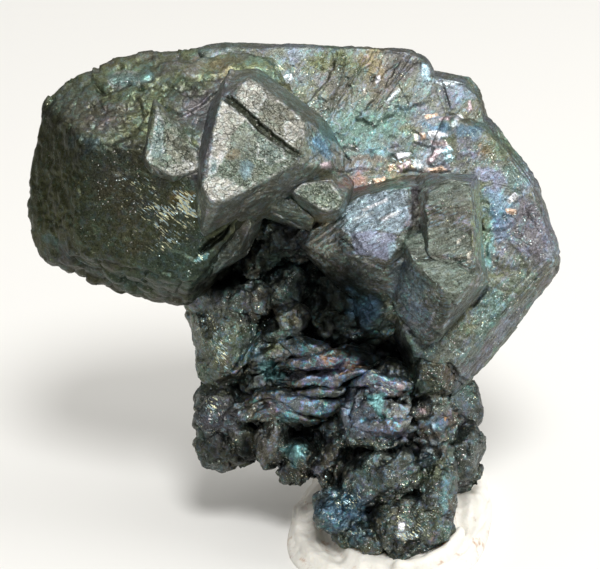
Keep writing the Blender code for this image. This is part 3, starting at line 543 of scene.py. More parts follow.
# Bright flakes that stand a little proud, as (outline, colour name).
FLAKES = [
    ([(0.15, 30.7), (0.7, 31.0), (1.5, 30.9), (1.2, 30.5), (0.5, 30.35)], "WHITE"),
    ([(0.9, 30.25), (1.5, 30.45), (1.3, 29.8), (0.9, 29.6)], "ROSE"),
    ([(1.6, 30.35), (2.1, 30.45), (2.5, 29.9), (2.2, 29.4), (1.7, 29.7)], "PEARL"),
    ([(-0.35, 29.95), (0.2, 30.1), (0.0, 29.5), (-0.4, 29.3)], "APRICOT"),
    ([(0.25, 29.9), (0.75, 29.9), (0.8, 29.3), (0.3, 29.25)], "ROSE"),
    ([(2.6, 30.2), (3.5, 31.2), (3.9, 31.1), (3.3, 30.2), (2.8, 29.8)], "ROSE"),
    ([(2.7, 29.6), (3.9, 29.9), (4.3, 29.5), (3.2, 29.2)], "APRICOT"),
    ([(3.9, 31.0), (4.5, 31.4), (4.8, 31.1), (4.2, 30.5)], "CYAN"),
    ([(4.0, 30.4), (4.6, 30.8), (4.9, 30.5), (4.3, 30.0)], "CYAN"),
    ([(2.7, 32.6), (3.6, 32.75), (4.5, 32.35), (3.6, 32.0), (3.0, 32.1)], "WHITE"),
    ([(2.1, 32.5), (2.6, 32.55), (2.7, 32.0), (2.2, 31.8)], "APRICOT"),
    ([(1.6, 32.4), (2.0, 32.5), (2.1, 31.9), (1.7, 31.8)], "CHALK"),
    ([(2.9, 31.9), (4.2, 31.8), (4.4, 31.5), (3.2, 31.5)], "ROSE"),
    ([(2.5, 33.9), (3.5, 34.1), (3.6, 33.8), (2.7, 33.6)], "APRICOT"),
    ([(3.6, 33.7), (4.6, 33.9), (4.7, 33.6), (3.7, 33.4)], "ROSE"),
    ([(4.8, 33.9), (5.4, 34.0), (5.65, 33.7), (5.0, 33.5)], "WHITE"),
    ([(4.6, 33.3), (5.2, 33.4), (5.3, 33.1), (4.7, 33.0)], "PEARL"),
    ([(6.0, 35.0), (6.3, 35.3), (6.4, 34.4), (6.1, 34.2)], "ROSE"),
    ([(9.0, 27.1), (9.7, 27.7), (10.0, 27.5), (9.3, 26.8)], "WHITE"),
    ([(8.9, 26.5), (9.9, 26.4), (9.8, 25.95), (9.0, 26.05)], "APRICOT"),
    ([(2.3, 38.2), (2.9, 38.1), (3.0, 36.6), (2.5, 36.5)], "SKY"),
    ([(3.4, 36.6), (4.6, 36.9), (5.4, 36.6), (4.2, 36.2)], "PEARL"),
    ([(-1.4, 36.9), (-1.0, 37.1), (-0.9, 36.7), (-1.3, 36.5)], "WHITE"),
    ([(-2.4, 36.0), (-2.1, 36.2), (-2.0, 35.6), (-2.5, 35.4)], "CHALK"),
    ([(-0.7, 35.0), (0.5, 36.1), (0.7, 35.9), (-0.4, 34.8)], "PEARL"),
    ([(-8.7, 37.0), (-8.0, 37.3), (-7.8, 36.7), (-8.4, 36.4)], "PEARL"),
    ([(-1.6, 28.8), (-0.6, 29.0), (-0.5, 28.5), (-1.4, 28.3)], "APRICOT"),
    ([(-5.9, 29.9), (-5.0, 30.1), (-4.9, 29.6), (-5.7, 29.4)], "ROSE"),
    ([(5.6, 22.9), (6.0, 23.1), (5.9, 22.2), (5.6, 22.1)], "CHALK"),
    ([(4.8, 23.8), (5.4, 24.3), (5.5, 24.2), (4.9, 23.6)], "CHALK"),
    ([(-3.6, 27.2), (-2.2, 27.9), (-2.1, 27.7), (-3.4, 27.0)], "PEARL"),
    ([(-1.0, 28.3), (0.2, 28.5), (0.2, 28.3), (-0.8, 28.1)], "WHITE"),
    ([(-2.6, 26.3), (-0.6, 27.2), (-0.5, 27.0), (-2.4, 26.1)], "WHITE"),
    ([(-3.3, 25.6), (-1.6, 26.2), (-1.5, 26.0), (-3.2, 25.4)], "PEARL"),
    ([(-1.2, 25.6), (0.5, 26.3), (0.6, 26.1), (-1.0, 25.3)], "WHITE"),
    ([(-2.1, 11.7), (-0.6, 11.9), (-0.9, 9.8), (-1.3, 10.1)], "AQUA"),
    ([(2.2, 10.6), (2.6, 10.6), (2.7, 10.2), (2.3, 10.1)], "PINK"),
    ([(3.0, 9.4), (3.4, 9.5), (3.5, 8.9), (3.2, 8.8)], "SKY"),
    ([(4.0, 10.0), (4.4, 9.9), (4.3, 9.5), (4.1, 9.5)], "ORANGE"),
    ([(0.2, 12.6), (0.9, 12.5), (0.8, 11.9), (0.3, 11.9)], "ROSE"),
    ([(-8.0, 7.5), (-7.2, 7.6), (-7.0, 6.8), (-7.7, 6.6)], "AQUA"),
    # These two flakes on the front boulder paint its white glint.
    ([(0.4, 1.7), (0.9, 1.6), (0.9, 1.0), (0.5, 1.0)], "WHITE"),
    ([(0.5, 0.7), (1.0, 0.7), (1.0, 0.1), (0.6, 0.1)], "CHALK"),
]


def raised_sheets(p, front):
    """The thin raised sheets, each with a ragged rim: its thickness within its outline and nothing outside."""
    ragged = 0.18 * layered(p, 0.6, 2, 880)
    h = np.zeros(len(p))
    for outline, thick in LEDGES + [(outline, FLAKE_THICKNESS) for outline, _ in FLAKES]:
        near = close_by(p, outline, front)
        if near.any():
            h[near] += thick * smooth(inside(p[near], outline) + ragged[near], -0.02, 0.16) * front[near]
    return h


def cut_depth(p, front):
    """How deep the cuts are at each point: full at a cut's line and nothing a width away."""
    ragged = 1 + 0.5 * layered(p, 0.7, 2, 870)
    h = np.zeros(len(p))
    for line, width, depth in CUTS:
        near = close_by(p, line, front)
        if near.any():
            wide = width * ragged[near]
            h[near] += depth * (1 - smooth(near_line(p[near], line) / wide, 0.25, 1)) * front[near]
    return h


def crystal_relief(p, out, edge, seed, rough=0.5, foil=0.5, tread=0.5, rise=45, lines=0.0, hem=0.0, steps=0.0,
                   crust=0.0):
    """Worn growth surface, calmer on the hidden sides: broad unevenness; shards drawn out along the grain, which
    rises at the angle `rise`, each raised and tilted by chance in the measure `tread`; creases like crumpled
    `foil`; saw-toothed `lines`, and such `steps` round the sides; a ragged lower `hem`; plates of `crust` on
    what faces up; pits, chipped edges, raised sheets and cuts."""
    bend = bending(p, 2.4, seed)
    calm = smooth(layered(p, 3.6, 2, seed + 4), -0.35, 0.3)
    front = smooth(-out[:, 1], 0.15, 0.6)
    lively = (0.35 + 0.65 * calm) * (0.35 + 0.65 * np.maximum(front, smooth(out[:, 1], 0.15, 0.6))) \
        * (1 - 0.5 * edge)
    h = 0.16 * rough * layered(p, 4.0, 3, seed)
    q = grained(p, rise) * (0.42, 0.7, 1.0) + 0.8 * bend
    for size, lift, slope in ((2.3, 0.40, 0.16), (1.0, 0.16, 0.20)):
        offset, marks = shards(q, size, seed + int(size * 10))
        h += tread * lively * (lift * (marks[:, 0] - 0.5) + slope * (offset * (marks - 0.5)).sum(1))
    h += foil * lively * 0.16 * creased(q + 0.3 * bend, 1.2, 3, seed + 20)
    if lines:
        v = grained(p, rise)[:, 2] / 0.6 + 0.9 * bend[:, 0] + 0.3 * layered(p, 0.9, 2, seed + 24)
        share = front * smooth(layered(q, 1.4, 2, seed + 26), -0.6, 0.0)
        h += lines * 0.10 * share * (0.5 - (v - np.floor(v)))
    if hem:
        offset, marks = shards(p * (1, 1, 0.7) + 0.4 * bend, 1.3, seed + 28)
        h += hem * smooth(-out[:, 2], 0.35, 0.8) * (marks[:, 0] - 0.6 * (offset * offset).sum(1))
    above = smooth(out[:, 2], 0.12, 0.4)
    if crust:
        offset, marks = shards(p + 0.5 * bend, 1.6, seed + 36)
        h += crust * above * (
            0.26 * (marks[:, 0] - 0.5) + 0.3 * (offset * (marks - 0.5)).sum(1)
            - 0.12 * smooth(layered(p, 2.2, 2, seed + 38), 0.25, 0.5))
    if steps:
        v = p[:, 1] / 0.45 + 0.5 * bend[:, 1]
        h += steps * 0.09 * smooth(-out[:, 1], 0.85, 0.5) * (0.5 - (v - np.floor(v))) \
            * smooth(layered(p, 1.6, 2, seed + 33), -0.5, 0.1)
    h += rough * (0.05 + 0.07 * (1 - front)) * (1 - 0.7 * (above * crust)) * layered(p, 0.7, 3, seed + 31, 0.7)
    h -= (0.12 + 0.35 * rough) * edge * smooth(layered(p, 1.1, 3, seed + 3), -0.15, 0.45)
    h -= 0.2 * rough * lively * smooth(layered(p, 0.8, 2, seed + 11), 0.45, 0.65)
    marked = smooth(-out[:, 1], 0.2, 0.5)
    return h + raised_sheets(p, marked) - cut_depth(p, marked)


def sway(p):
    """A shared bending of space that lets neighbouring lumps fold into each other."""
    return 0.55 * bending(p, 3.2, 300) + 0.22 * bending(p, 1.2, 310)


def crook(p, reach=0.55):
    """How much fuller the growth is in the crooks between lumps: the least distance to the lumps' ellipsoids,
    less their blended least distance, which is -reach times the log of the sum of exp(-distance / reach)."""
    least = np.full(len(p), 1e9)
    blended = np.zeros(len(p))
    for centre, radii, turn in LUMPS.values():
        a = math.radians(turn)
        away = p - np.array(centre)
        x = away[:, 0] * math.cos(a) - away[:, 2] * math.sin(a)
        z = away[:, 0] * math.sin(a) + away[:, 2] * math.cos(a)
        q = np.stack([x, away[:, 1], z], 1) / radii
        far = np.linalg.norm(q, axis=1)
        steep = np.linalg.norm(q / radii, axis=1)
        distance = np.maximum(far * (far - 1) / np.maximum(steep, 1e-6), -3)
        least = np.minimum(least, distance)
        blended += np.exp(-distance / reach)
    return np.clip(least + reach * np.log(blended), 0, 0.9)


def lump_relief(p, out, rough=1.0, folds=0.0):
    """Craggy growth, the same field for every lump: billows, long creases, small tilted shards, grit, pits."""
    bend = bending(p, 1.6, 700)
    h = 0.26 * rough * layered(p, 2.2, 3, 7)
    h += 0.12 * rough * creased(p + 0.5 * bend, 1.7, 3, 41)
    for size, slope in ((2.8, 0.26), (1.5, 0.34), (0.6, 0.22)):
        offset, marks = shards(p + 0.4 * bend, size, 60 + int(size * 10))
        h += rough * (slope * (offset * (marks - 0.5)).sum(1) + 0.14 * size * (marks[:, 1] - 0.5))
    q = grained(p, 8) * (0.3, 0.8, 1.0) + 0.5 * bend
    h += folds * creased(q, 1.3, 3, 90, 0.6)
    h += 0.05 * layered(p, 0.45, 2, 95, 0.8)
    h -= 0.25 * rough * smooth(layered(p, 0.9, 2, 11), 0.4, 0.6)
    front = smooth(-out[:, 1], 0.0, 0.3)
    return h + raised_sheets(p, front) - cut_depth(p, front)


def tube(path, cell):
    """A folded ridge: rings round a smooth path of (place, half height, half depth), each an ellipse across
    the path's own direction, with the ends drawn in to a point. Points, outward directions and quads."""
    knots = np.array([knot[0] for knot in path])
    sizes = np.array([knot[1:] for knot in path])
    span = np.concatenate([[0], np.cumsum(np.linalg.norm(np.diff(knots, axis=0), axis=1))])
    rings = max(8, int(span[-1] / cell))
    around = max(10, int(2 * math.pi * sizes.max() / cell))
    t = np.linspace(0, span[-1], rings + 1)
    middle = np.stack([np.interp(t, span, knots[:, k]) for k in range(3)], 1)
    for _ in range(int(0.4 / cell)):
        middle[1:-1] = 0.5 * middle[1:-1] + 0.25 * (middle[:-2] + middle[2:])
    size = np.stack([np.interp(t, span, sizes[:, k]) for k in range(2)], 1)
    close = np.sqrt(np.clip(1 - (2 * t / span[-1] - 1) ** 6, 0, 1))[:, None]
    ahead = np.gradient(middle, axis=0)
    ahead /= np.linalg.norm(ahead, axis=1)[:, None]
    deep = np.cross(ahead, (0, 0, 1.0))
    deep /= np.linalg.norm(deep, axis=1)[:, None]
    high = np.cross(deep, ahead)
    a = np.linspace(0, 2 * math.pi, around, endpoint=False)
    way = (high[:, None] * np.cos(a)[None, :, None] * size[:, None, 0:1]
           + deep[:, None] * np.sin(a)[None, :, None] * size[:, None, 1:2]) * close[:, None]
    points = (middle[:, None] + way).reshape(-1, 3)
    out = (high[:, None] * np.cos(a)[None, :, None] + deep[:, None] * np.sin(a)[None, :, None]).reshape(-1, 3)
    index = np.arange(len(points)).reshape(rings + 1, around)
    after = np.roll(index, -1, axis=1)
    quads = np.stack([index[:-1].ravel(), after[:-1].ravel(), after[1:].ravel(), index[1:].ravel()], 1)
    return points, out, np.zeros(len(points)), quads


# Folded ridges across the stem, as knots of (place, half height, half depth).
FOLDS = [
    [((-9.4, -5.6, 13.6), 0.3, 0.6), ((-7.2, -6.6, 14.2), 0.6, 1.0), ((-4.8, -7.0, 14.5), 0.7, 1.2),
     ((-2.6, -6.7, 14.8), 0.6, 1.0), ((-1.0, -5.8, 14.3), 0.3, 0.7)],
    [((-9.0, -5.4, 15.7), 0.3, 0.7), ((-7.4, -6.0, 15.6), 0.7, 1.0), ((-5.6, -5.8, 15.4), 0.5, 0.9),
     ((-4.6, -5.2, 15.2), 0.3, 0.6)],
    [((-9.2, -5.8, 12.5), 0.3, 0.7), ((-6.6, -6.6, 12.9), 0.5, 1.0), ((-4.2, -6.8, 13.3), 0.5, 1.0),
     ((-2.0, -6.5, 13.7), 0.3, 0.7)],
    [((-8.4, -5.8, 11.7), 0.3, 0.7), ((-6.2, -6.4, 12.0), 0.5, 0.9), ((-3.8, -6.2, 12.4), 0.4, 0.9)],
    [((-12.0, -4.6, 11.0), 0.4, 0.8), ((-9.8, -5.7, 11.5), 0.7, 1.1), ((-7.4, -6.3, 11.1), 0.8, 1.2),
     ((-5.2, -6.2, 10.7), 0.8, 1.1), ((-4.0, -5.6, 11.2), 0.4, 0.8)],
    [((-11.6, -4.6, 9.9), 0.4, 0.8), ((-10.4, -5.4, 10.3), 0.6, 1.0), ((-8.4, -5.6, 10.2), 0.5, 1.0),
     ((-6.4, -5.9, 9.9), 0.5, 1.0), ((-5.0, -5.6, 10.0), 0.3, 0.7)],
    [((-3.6, -5.6, 12.4), 0.4, 0.8), ((-1.6, -6.9, 13.1), 0.7, 1.0), ((0.4, -6.8, 12.6), 0.6, 1.0),
     ((1.4, -6.0, 11.8), 0.3, 0.7)],
    [((-3.4, -6.6, 9.4), 0.3, 0.6), ((-1.8, -7.4, 9.3), 0.7, 0.9), ((0.2, -7.4, 9.4), 0.7, 0.9),
     ((1.6, -6.4, 10.0), 0.3, 0.7)],
    [((-12.8, -5.2, 13.4), 0.3, 0.6), ((-11.4, -5.6, 15.2), 0.5, 0.8), ((-10.2, -5.8, 16.6), 0.4, 0.8)],
    [((-3.2, -5.8, 20.4), 0.4, 0.6), ((-4.4, -5.4, 18.4), 0.7, 0.8), ((-6.2, -5.2, 17.2), 0.5, 0.7)],
    [((1.8, -5.2, 17.6), 0.4, 0.7), ((-0.4, -5.6, 16.6), 0.6, 0.9), ((-3.4, -5.6, 16.4), 0.5, 0.8)],
]


def skin_of(quads, p):
    """Outward directions of a mesh at its points: the sum of its quads' own normals."""
    a, b, c, d = (p[quads[:, k]] for k in range(4))
    across = np.cross(c - a, d - b)
    out = np.zeros_like(p)
    for k in range(4):
        np.add.at(out, quads[:, k], across)
    return out / np.maximum(np.linalg.norm(out, axis=1), 1e-9)[:, None]


def scatter(shells, count, seed, low, high, sink=0.25):
    """Broken grains half sunk in the skins: twenty-sided solids, stretched and turned by chance, at points
    chosen evenly by area, each from `low` to `high` across."""
    dice = np.random.default_rng(seed)
    p = np.concatenate([s[0] for s in shells])
    out = np.concatenate([s[1] for s in shells])
    starts = np.cumsum([0] + [len(s[0]) for s in shells[:-1]])
    quads = np.concatenate([s[2] + k for s, k in zip(shells, starts)])
    a, b, c, d = (p[quads[:, k]] for k in range(4))
    area = np.linalg.norm(np.cross(c - a, d - b), axis=1)
    spot = quads[dice.choice(len(quads), count, p=area / area.sum()), 0]
    wide = low * (high / low) ** (dice.random(count) ** 1.6)
    g = (1 + math.sqrt(5)) / 2
    corners = np.array([(-1, g, 0), (1, g, 0), (-1, -g, 0), (1, -g, 0), (0, -1, g), (0, 1, g), (0, -1, -g),
                        (0, 1, -g), (g, 0, -1), (g, 0, 1), (-g, 0, -1), (-g, 0, 1)]) / math.hypot(1, g)
    sides = np.array([(0, 11, 5), (0, 5, 1), (0, 1, 7), (0, 7, 10), (0, 10, 11), (1, 5, 9), (5, 11, 4),
                      (11, 10, 2), (10, 7, 6), (7, 1, 8), (3, 9, 4), (3, 4, 2), (3, 2, 6), (3, 6, 8), (3, 8, 9),
                      (4, 9, 5), (2, 4, 11), (6, 2, 10), (8, 6, 7), (9, 8, 1)])
    shape = corners[None] * (0.5 * wide[:, None, None] * dice.uniform(0.55, 1.25, (count, 1, 3)))
    shape = shape * dice.uniform(0.8, 1.15, (count, 12, 1))
    turn = np.linalg.qr(dice.normal(size=(count, 3, 3)))[0]
    turn *= np.linalg.det(turn)[:, None, None]
    points = np.einsum("nij,nkj->nki", turn, shape) + (p[spot] - out[spot] * wide[:, None] * sink)[:, None]
    faces = (sides[None] + 12 * np.arange(count)[:, None, None]).reshape(-1, 3)
    # Each grain takes the painted shade of the point it sits on.
    sunk = np.repeat(np.concatenate([s[4] for s in shells])[spot], 12)
    return points.reshape(-1, 3), np.repeat(out[spot], 12, axis=0), faces, 0 * sunk, sunk


def joined(name, skins, finish, tint, lean=LEAN, flat=False):
    """One mesh of several closed skins, leant back and scaled, with the values of its painted layers. A skin is
    its points, outward directions, faces, and how near an edge and how sunk each point is, which sets how much
    shade is painted there."""
    starts = np.cumsum([0] + [len(s[0]) for s in skins[:-1]])
    p, out, edge, sunk = (np.concatenate([s[k] for s in skins]) for k in (0, 1, 3, 4))
    faces = np.concatenate([s[2] + k for s, k in zip(skins, starts)])
    turn = np.array(Matrix.Rotation(-lean, 3, "X"))
    mesh = bpy.data.meshes.new(name)
    mesh.vertices.add(len(p))
    mesh.vertices.foreach_set("co", ((p @ turn.T) * TO_METRES).ravel())
    mesh.loops.add(faces.size)
    mesh.loops.foreach_set("vertex_index", faces.ravel())
    mesh.polygons.add(len(faces))
    mesh.polygons.foreach_set("loop_start", np.arange(len(faces)) * faces.shape[1])
    mesh.polygons.foreach_set("use_smooth", np.full(len(faces), not flat))
    mesh.update(calc_edges=True)
    for layer, values in zip(("tint", "finish", "marks"), tint(p, out, edge, sunk)):
        data = mesh.color_attributes.new(layer, "FLOAT_COLOR", "POINT")
        rgba = np.ones((len(p), 4))
        rgba[:, :3] = values
        data.data.foreach_set("color", rgba.ravel())
    mesh.materials.append(finish)
    obj = bpy.data.objects.new(name, mesh)
    bpy.context.scene.collection.objects.link(obj)
    return obj


# Tarnish colours, as the eye names them, and their strength as a metal's own colour. DARK and SHADE are painted
# shade, not tarnish.
TARNISH = {
    "OLIVE": (0.150, 0.165, 0.070), "MOSS": (0.168, 0.192, 0.108), "GREY": (0.192, 0.205, 0.170),
    "SLATE": (0.128, 0.145, 0.121), "TEAL": (0.140, 0.240, 0.200), "AQUA": (0.210, 0.430, 0.430),
    "SKY": (0.290, 0.400, 0.450), "BLUE": (0.110, 0.220, 0.320), "PERIWINKLE": (0.270, 0.290, 0.380),
    "VIOLET": (0.200, 0.175, 0.260), "MAUVE": (0.170, 0.155, 0.180), "PINK": (0.400, 0.300, 0.290),
    "ORANGE": (0.460, 0.270, 0.130), "GOLD": (0.340, 0.260, 0.090), "BROWN": (0.180, 0.140, 0.090),
    "RUST": (0.260, 0.150, 0.110), "SILVER": (0.420, 0.430, 0.400), "SAGE": (0.148, 0.177, 0.146),
    "PALE": (0.118, 0.144, 0.108), "FROST": (0.155, 0.212, 0.202), "CREAM": (0.350, 0.340, 0.300),
    "TAN": (0.168, 0.164, 0.128), "ICE": (0.300, 0.375, 0.425), "WHITE": (0.780, 0.790, 0.830),
    "CHALK": (0.700, 0.660, 0.560), "APRICOT": (0.500, 0.350, 0.250), "STEEL": (0.130, 0.200, 0.240),
    "ROSE": (0.500, 0.400, 0.420), "CYAN": (0.400, 0.580, 0.620), "PEARL": (0.480, 0.540, 0.560),
    "DARK": (0.006, 0.008, 0.007), "SHADE": (0.046, 0.050, 0.034),
}
# Those that show fine cracks and a frosted rim.
CRAZED = ("PALE", "FROST", "CREAM", "TAN")
